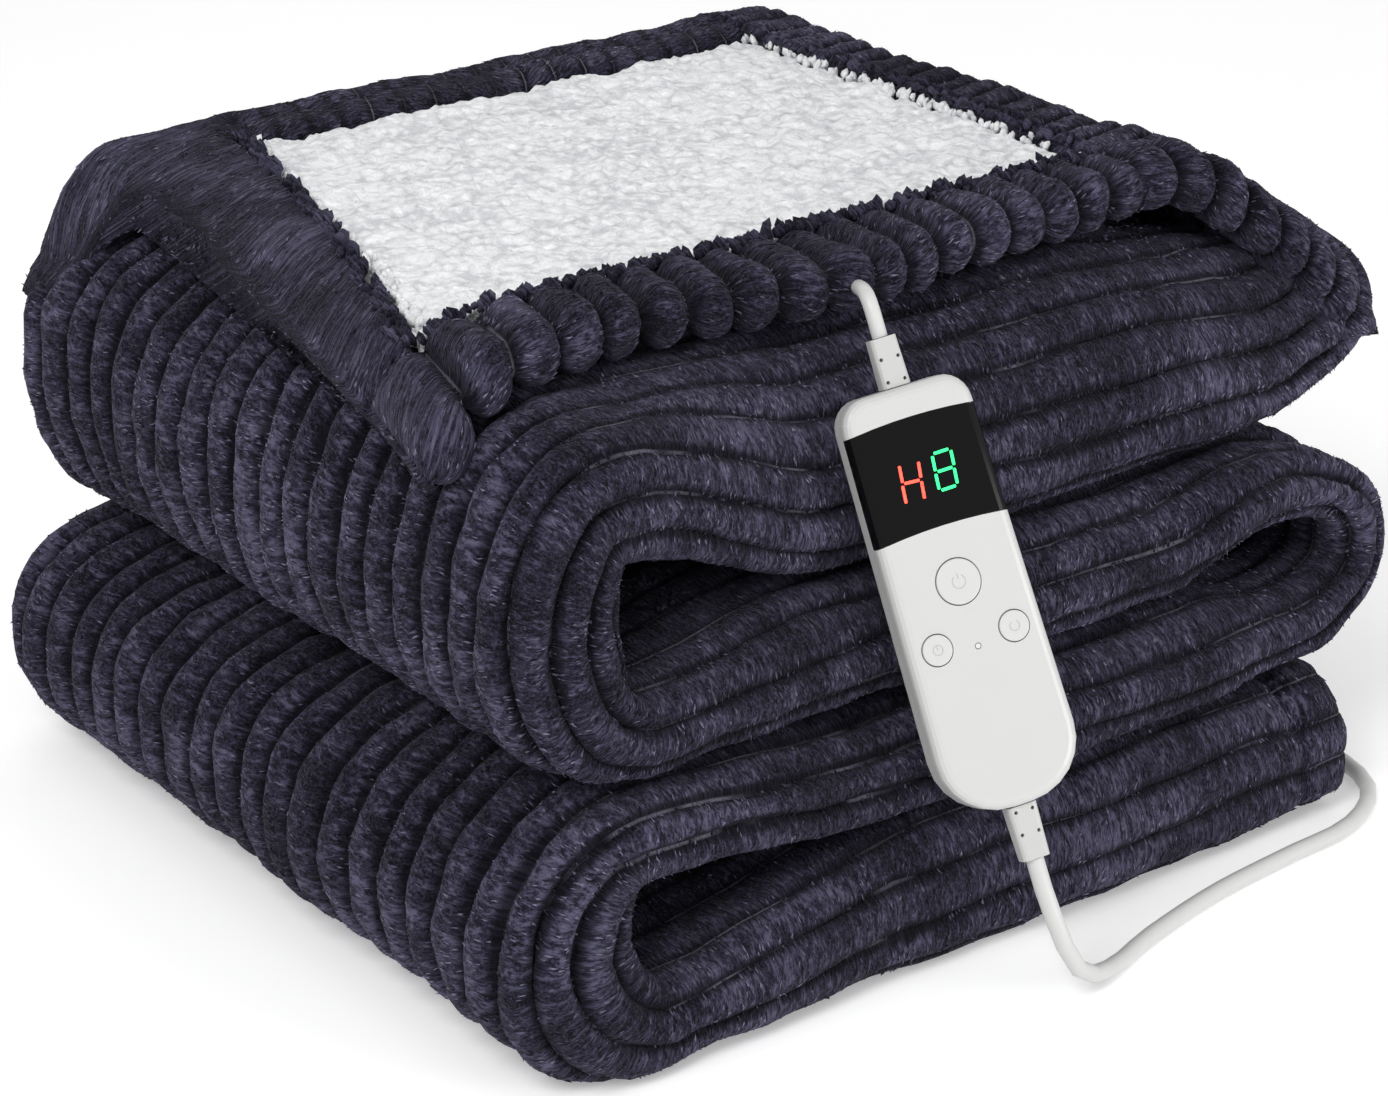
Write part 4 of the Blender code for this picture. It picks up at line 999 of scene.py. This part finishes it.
def openRoots(draw, pieces, low, high, blockers):
    # random places on the skin between two heights, with room above them: root, normal, across
    points, normals, corners, across = joinedSkins(pieces)
    middle = points[corners].mean(axis=1)
    kept = (middle[:, 2] >= low) & (middle[:, 2] < high)
    corners, across = corners[kept], across[kept]
    a, b, c = (points[corners[:, k]] for k in range(3))
    area = np.linalg.norm(np.cross(b - a, c - a), axis=1)
    chosen = draw.choice(len(corners), size=int(fibres["count"] * fibres["spare"]),
                         p=area / area.sum())
    u, v = draw.rand(len(chosen), 1), draw.rand(len(chosen), 1)
    flip = u + v > 1
    u, v = np.where(flip, 1 - u, u), np.where(flip, 1 - v, v)
    root = a[chosen] * (1 - u - v) + b[chosen] * u + c[chosen] * v
    n = normals[corners[chosen]]
    normal = unitRows(n[:, 0] * (1 - u - v) + n[:, 1] * u + n[:, 2] * v)
    free = []
    for k in range(len(root)):
        start = Vector(root[k] + normal[k] * fibres["rayLift"])
        if len(free) < fibres["count"] and not any(
                tree.ray_cast(start, Vector(normal[k]), fibres["clear"])[0] for tree in blockers):
            free.append(k)
    return root[free], normal[free], across[chosen][free]


def lockDirections(draw, root, normal, across):
    # locks lie across the ribs, brushed one way or the other in patches, and stray a little
    total = len(root)
    swirl = np.array([noise.noise_vector(Vector(p) * fibres["swirlWaves"]) for p in root])
    brushed = np.array([[1.0 if noise.noise(Vector(p) * fibres["turnWaves"]) > fibres["turnAbove"]
                         else -1.0] for p in root])
    way = (across * brushed + fibres["swirl"] * swirl
           + fibres["loose"] * (draw.rand(total, 3) - 0.5))
    way = unitRows(way - normal * (way * normal).sum(axis=1, keepdims=True))
    way = unitRows(way + normal * (fibres["rise"] + fibres["moreRise"] * draw.rand(total, 1) ** 3))
    side = unitRows(np.cross(way, draw.rand(total, 3) - 0.5))
    return way, side, np.cross(way, side)


def fibrePiece(name, pieces, low, high, seed, blockers):
    # small closed spikes of three sides and a base
    draw = np.random.RandomState(seed)
    root, normal, across = openRoots(draw, pieces, low, high, blockers)
    total = len(root)
    way, side, other = lockDirections(draw, root, normal, across)
    length = draw.uniform(*fibres["length"], size=(total, 1))
    wide = draw.uniform(*fibres["wide"], size=(total, 1)) / 2
    base = root - normal * fibres["sink"]
    rows = [base + wide * (math.cos(t) * side + math.sin(t) * other)
            for t in (0.0, 2 * math.pi / 3, 4 * math.pi / 3)]
    rows.append(base + way * (length + fibres["sink"]))
    verts = np.stack(rows, axis=1).reshape(-1, 3)
    verts[:, 2] = np.maximum(verts[:, 2], fibres["lowest"])
    first = np.arange(total)[:, None] * 4
    faces = np.concatenate([first + np.array(face) for face in (
        (0, 1, 3), (1, 2, 3), (2, 0, 3), (2, 1, 0))], axis=0)
    mesh = bpy.data.meshes.new(name)
    mesh.from_pydata(verts.tolist(), [], faces.tolist())
    tip = mesh.attributes.new("tip", "FLOAT", "POINT")
    tip.data.foreach_set("value", np.tile((0.0, 0.0, 0.0, 1.0), total))
    tone = mesh.attributes.new("tone", "FLOAT", "POINT")
    tone.data.foreach_set("value", np.repeat(draw.rand(total), 4))
    piece = bpy.data.objects.new(name, mesh)
    bpy.context.scene.collection.objects.link(piece)
    mesh.materials.append(plushFibre)
    mesh.shade_smooth()
    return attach(piece, "blanket")


def treeOf(piece):
    return BVHTree.FromPolygons([v.co for v in piece.data.vertices],
                                [p.vertices for p in piece.data.polygons])


skins = [plushPiece, flapPiece]
blockers = [treeOf(piece) for piece in skins]
fibrePieces = [
    fibrePiece(name, skins, fibres["heights"][k], fibres["heights"][k + 1], fibres["seed"] + k,
               blockers)
    for k, name in enumerate(("fibres_low", "fibres_middle", "fibres_high"))]
print("fibres", [len(piece.data.polygons) for piece in fibrePieces])

pile = dict(columns=206, rows=144, lift=0.0080, least=0.25, edge=0.006, width=0.32, depth=0.23,
            rag=0.0022, ragWaves=0.35, clump=0.0020, clumpWaves=60.0, bend=0.004, bendWaves=85.0,
            curl=0.0026, curls=150.0, fine=0.0008, fineWaves=420.0, fromFront=0.001,
            fromRight=0.004)


def pileMesh():
    def place(column, row):
        share = column / pile["columns"]
        y = mix(flap["windowNear"] + pile["fromFront"], flap["windowFar"] - pile["fromFront"],
                row / pile["rows"])
        ragSpot = Vector((column * pile["ragWaves"], row * pile["ragWaves"], 1.0))
        rag = pile["rag"] * noise.noise(ragSpot)
        x = mix(flap["right"] - pile["fromRight"], readTable(windowLeft, y), share) + rag
        edge = (min(share, 1 - share) * pile["width"],
                min(row, pile["rows"] - row) / pile["rows"] * pile["depth"])
        lift = pile["lift"] * min(1.0, pile["least"] + min(edge) / pile["edge"])
        spot = Vector((x, y, 0.0))
        lift += pile["clump"] * noise.noise(spot * pile["clumpWaves"])
        bent = spot + noise.noise_vector(spot * pile["bendWaves"]) * pile["bend"]
        lift += pile["curl"] * (0.6 - noise.voronoi(bent * pile["curls"])[0][0])
        lift += pile["fine"] * noise.noise(spot * pile["fineWaves"])
        return rollDown(x, y + rag * 0.4, flap["seat"] + lift), (x, y)
    return gridMesh(pile["columns"], pile["rows"], place)[0]


pileBm = pileMesh()
bmesh.ops.recalc_face_normals(pileBm, faces=pileBm.faces)
if sum(f.normal.z for f in pileBm.faces) < 0:
    bmesh.ops.reverse_faces(pileBm, faces=pileBm.faces)
pilePiece = addPiece("white_pile_side", pileBm, whitePile)
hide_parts("pile_panel")

# inward and spread place the tufts from the pile's edge, height is over the flap's seat
darkTuftSizes = dict(count=620, inward=-0.0032, spread=0.0028, size=0.0026, height=0.0125, seed=11)
whiteTuftSizes = dict(count=520, inward=0.0030, spread=0.0022, size=0.00208, height=0.0085, seed=12)


def edgeSpot(draw, inward):
    # a random spot: half of them along the pile's front edge, then its left and right edges
    side = draw.random()
    near, far, right = flap["windowNear"], flap["windowFar"], flap["right"]
    if side < 0.50:
        return draw.uniform(readTable(windowLeft, near), right), near + inward
    y = draw.uniform(near, far)
    if side < 0.80:
        return readTable(windowLeft, y) + inward, y
    return right - 0.003 - inward, y


def tuftMesh(count, inward, spread, size, height, seed):
    draw = random.Random(seed)
    bm = bmesh.new()
    for _ in range(count):
        x, y = edgeSpot(draw, inward + draw.uniform(-spread, spread))
        place = rollDown(x, y, flap["seat"] + height + draw.uniform(-0.0010, 0.0012))
        made = bmesh.ops.create_icosphere(bm, subdivisions=1, radius=size * draw.uniform(0.7, 1.2))
        stretch = Matrix.Diagonal((draw.uniform(0.6, 1.0), draw.uniform(0.6, 1.0),
                                   draw.uniform(1.0, 1.8), 1.0))
        turn = Matrix.Rotation(draw.uniform(-0.7, 0.7), 4, "X") @ Matrix.Rotation(
            draw.uniform(-0.7, 0.7), 4, "Y")
        bmesh.ops.transform(bm, matrix=Matrix.Translation(place) @ turn @ stretch,
                            verts=made["verts"])
    layer = bm.loops.layers.uv.new("ribs")
    for face in bm.faces:
        for loop in face.loops:
            loop[layer].uv = (loop.vert.co.x + loop.vert.co.z * 0.5, 0.5)
    return bm


darkTufts = addPiece("dark_edge_tufts", tuftMesh(**darkTuftSizes), plush)
whiteTufts = addPiece("white_edge_tufts", tuftMesh(**whiteTuftSizes), whitePile)

for node, material in (("case_front", casePlastic), ("case_back", casePlastic),
                       ("display_window", displayBlack), ("key_power", keyPlastic),
                       ("key_timer", keyPlastic), ("key_level", keyPlastic),
                       ("lamp", lampPlastic), ("relief_upper", reliefVinyl),
                       ("relief_lower", reliefVinyl), ("coil_tie", tiePlastic),
                       ("plug_body", casePlastic), ("plug_pin_1", pinMetal),
                       ("plug_pin_2", pinMetal), ("low_lead", leadVinyl),
                       ("mains_lead", leadVinyl), ("mains_coil", leadVinyl),
                       ("blanket_cloth", plush), ("pile_panel", whitePile)):
    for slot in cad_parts[node].material_slots:
        slot.material = material

segments = dict(width=0.00115, height=0.00015, off=0.0009, proud=0.00003, round=0.0004)
# strokes of the two characters in the case's plane, in mm: from x, from y, to x, to y
redStrokes = [(-10.8, 53.4, -11.4, 47.1), (-11.75, 46.0, -12.3, 39.4), (-3.2, 52.8, -4.0, 46.9),
              (-4.2, 45.6, -4.9, 39.1), (-10.9, 46.6, -4.7, 46.2)]
greenStrokes = [(2.6, 53.3, 2.1, 47.6), (1.95, 46.6, 1.5, 40.7), (10.2, 53.4, 9.75, 47.7),
                (9.5, 46.7, 9.0, 40.8), (3.4, 54.0, 9.4, 54.1), (2.9, 47.1, 8.9, 47.2),
                (2.3, 40.1, 8.2, 40.2)]


def strokeMesh(strokes):
    bm = bmesh.new()
    top = caseSizes["thick"] + segments["proud"]
    for x1, y1, x2, y2 in strokes:
        a, b = Vector((x1, y1, 0)) * 0.001, Vector((x2, y2, 0)) * 0.001
        a.x += segments["off"]
        b.x += segments["off"]
        along = (b - a).normalized()
        made = bmesh.ops.create_cube(bm, size=1.0)["verts"]
        bmesh.ops.scale(bm, vec=((b - a).length, segments["width"], segments["height"]), verts=made)
        turn = Matrix.Rotation(math.atan2(along.y, along.x), 4, "Z")
        bmesh.ops.transform(bm, matrix=Matrix.Translation((a + b) / 2 + Vector((0, 0, top))) @ turn,
                            verts=made)
        sides = [e for e in bm.edges if e.verts[0] in made and abs(
            (e.verts[0].co - e.verts[1].co).z) > segments["height"] * 0.9]
        bmesh.ops.bevel(bm, geom=sides, offset=segments["round"], segments=2, profile=0.5,
                        affect="EDGES", material=-1)
    bm.transform(casePose())
    return bm


# faint marks on the keys: x, y, radius, gap at the top in degrees, whether a stroke fills it
keyMarks = dict(thick=0.00030, height=0.00010, proud=0.0007, steps=40)
marks = [("key_power", "power_key", -0.0006, 0.0058, 0.0026, 70.0, True),
         ("key_timer", "timer_key", -0.0160, -0.0163, 0.0019, 0.0, True),
         ("key_level", "level_key", 0.0154, -0.0163, 0.0019, 60.0, False)]


def markMesh(x, y, radius, opening, stroke):
    bm = bmesh.new()
    top = caseSizes["thick"] + keyMarks["proud"] + keyMarks["height"] * 0.3
    start, turn = math.radians(90 + opening / 2), math.radians(360 - opening)
    line = bmesh.ops.create_grid(bm, x_segments=1, y_segments=1, size=0.5)["verts"]
    bmesh.ops.rotate(bm, matrix=Matrix.Rotation(math.radians(90), 3, "X"), verts=line)
    bmesh.ops.scale(bm, vec=(keyMarks["thick"], 1.0, keyMarks["height"]), verts=line)
    bmesh.ops.translate(bm, vec=(radius, 0, 0), verts=line)
    bmesh.ops.rotate(bm, matrix=Matrix.Rotation(start, 3, "Z"), verts=line)
    bmesh.ops.spin(bm, geom=list(bm.faces) + list(bm.edges) + list(bm.verts),
                   axis=(0, 0, 1), cent=(0, 0, 0), dvec=(0, 0, 0), angle=turn,
                   steps=keyMarks["steps"], use_merge=opening == 0.0, use_duplicate=False)
    # a full turn leaves its sections inside the ring
    inside = [face for face in bm.faces if all(len(edge.link_faces) > 2 for edge in face.edges)]
    bmesh.ops.delete(bm, geom=inside, context="FACES_ONLY")
    if stroke:
        made = bmesh.ops.create_cube(bm, size=1.0)["verts"]
        bmesh.ops.scale(bm, vec=(keyMarks["thick"], radius * 0.9, keyMarks["height"]), verts=made)
        bmesh.ops.translate(bm, vec=(0, radius * (0.85 if opening else 0.42), 0), verts=made)
    bmesh.ops.recalc_face_normals(bm, faces=bm.faces)
    bmesh.ops.translate(bm, vec=(x, y, top), verts=bm.verts)
    bm.transform(casePose())
    return bm


for node, body, *shape in marks:
    addPiece("mark_on_" + node, markMesh(*shape), markInk, body, angle=40)

addPiece("red_figure", strokeMesh(redStrokes), redGlow, angle=40)
addPiece("green_figure", strokeMesh(greenStrokes), greenGlow, angle=40)

studio = dict(key=15.0, fill=14.0, rim=1.0, world=0.66, floor=0.23, floorReach=6.0,
              floorDrop=0.0002)
floorMesh = bmesh.new()
bmesh.ops.create_grid(floorMesh, x_segments=1, y_segments=1, size=studio["floorReach"])
floorData = bpy.data.meshes.new("pale_floor")
floorMesh.to_mesh(floorData)
floorMesh.free()
floor = bpy.data.objects.new("pale_floor", floorData)
floor.location.z = -studio["floorDrop"]
bpy.context.scene.collection.objects.link(floor)
floorMaterial, floorTree, floorShader = newMaterial("pale_floor", 0.9)
floorTree.links.new(rampNode(floorTree, noiseNode(floorTree, objectCoords(floorTree), 3.0), [
    (0.3, (0.95, 0.95, 0.95)), (0.7, (0.97, 0.97, 0.97))]), floorShader.inputs["Base Color"])
floorShader.inputs["Emission Color"].default_value = (1.0, 1.0, 1.0, 1.0)
floorShader.inputs["Emission Strength"].default_value = studio["floor"]
floorData.materials.append(floorMaterial)

world = bpy.data.worlds.new("studio")
world.use_nodes = True
world.node_tree.nodes["Background"].inputs["Color"].default_value = (1.0, 1.0, 1.0, 1.0)
world.node_tree.nodes["Background"].inputs["Strength"].default_value = studio["world"]
bpy.context.scene.world = world


def addLight(name, place, target, size, power):
    data = bpy.data.lights.new(name, "AREA")
    data.shape = "DISK"
    data.size = size
    data.energy = power
    light = bpy.data.objects.new(name, data)
    light.location = place
    light.rotation_euler = (Vector(target) - Vector(place)).to_track_quat("-Z", "Y").to_euler()
    bpy.context.scene.collection.objects.link(light)


addLight("key", (-1.2, -0.7, 1.3), (0.0, 0.0, 0.13), 0.8, studio["key"])
addLight("fill", (0.8, -1.9, 0.45), (0.05, -0.1, 0.10), 1.0, studio["fill"])
addLight("rim", (0.7, 1.3, 1.6), (0.0, 0.1, 0.2), 0.9, studio["rim"])
bpy.context.scene.view_settings.view_transform = "Standard"
print("lights done")
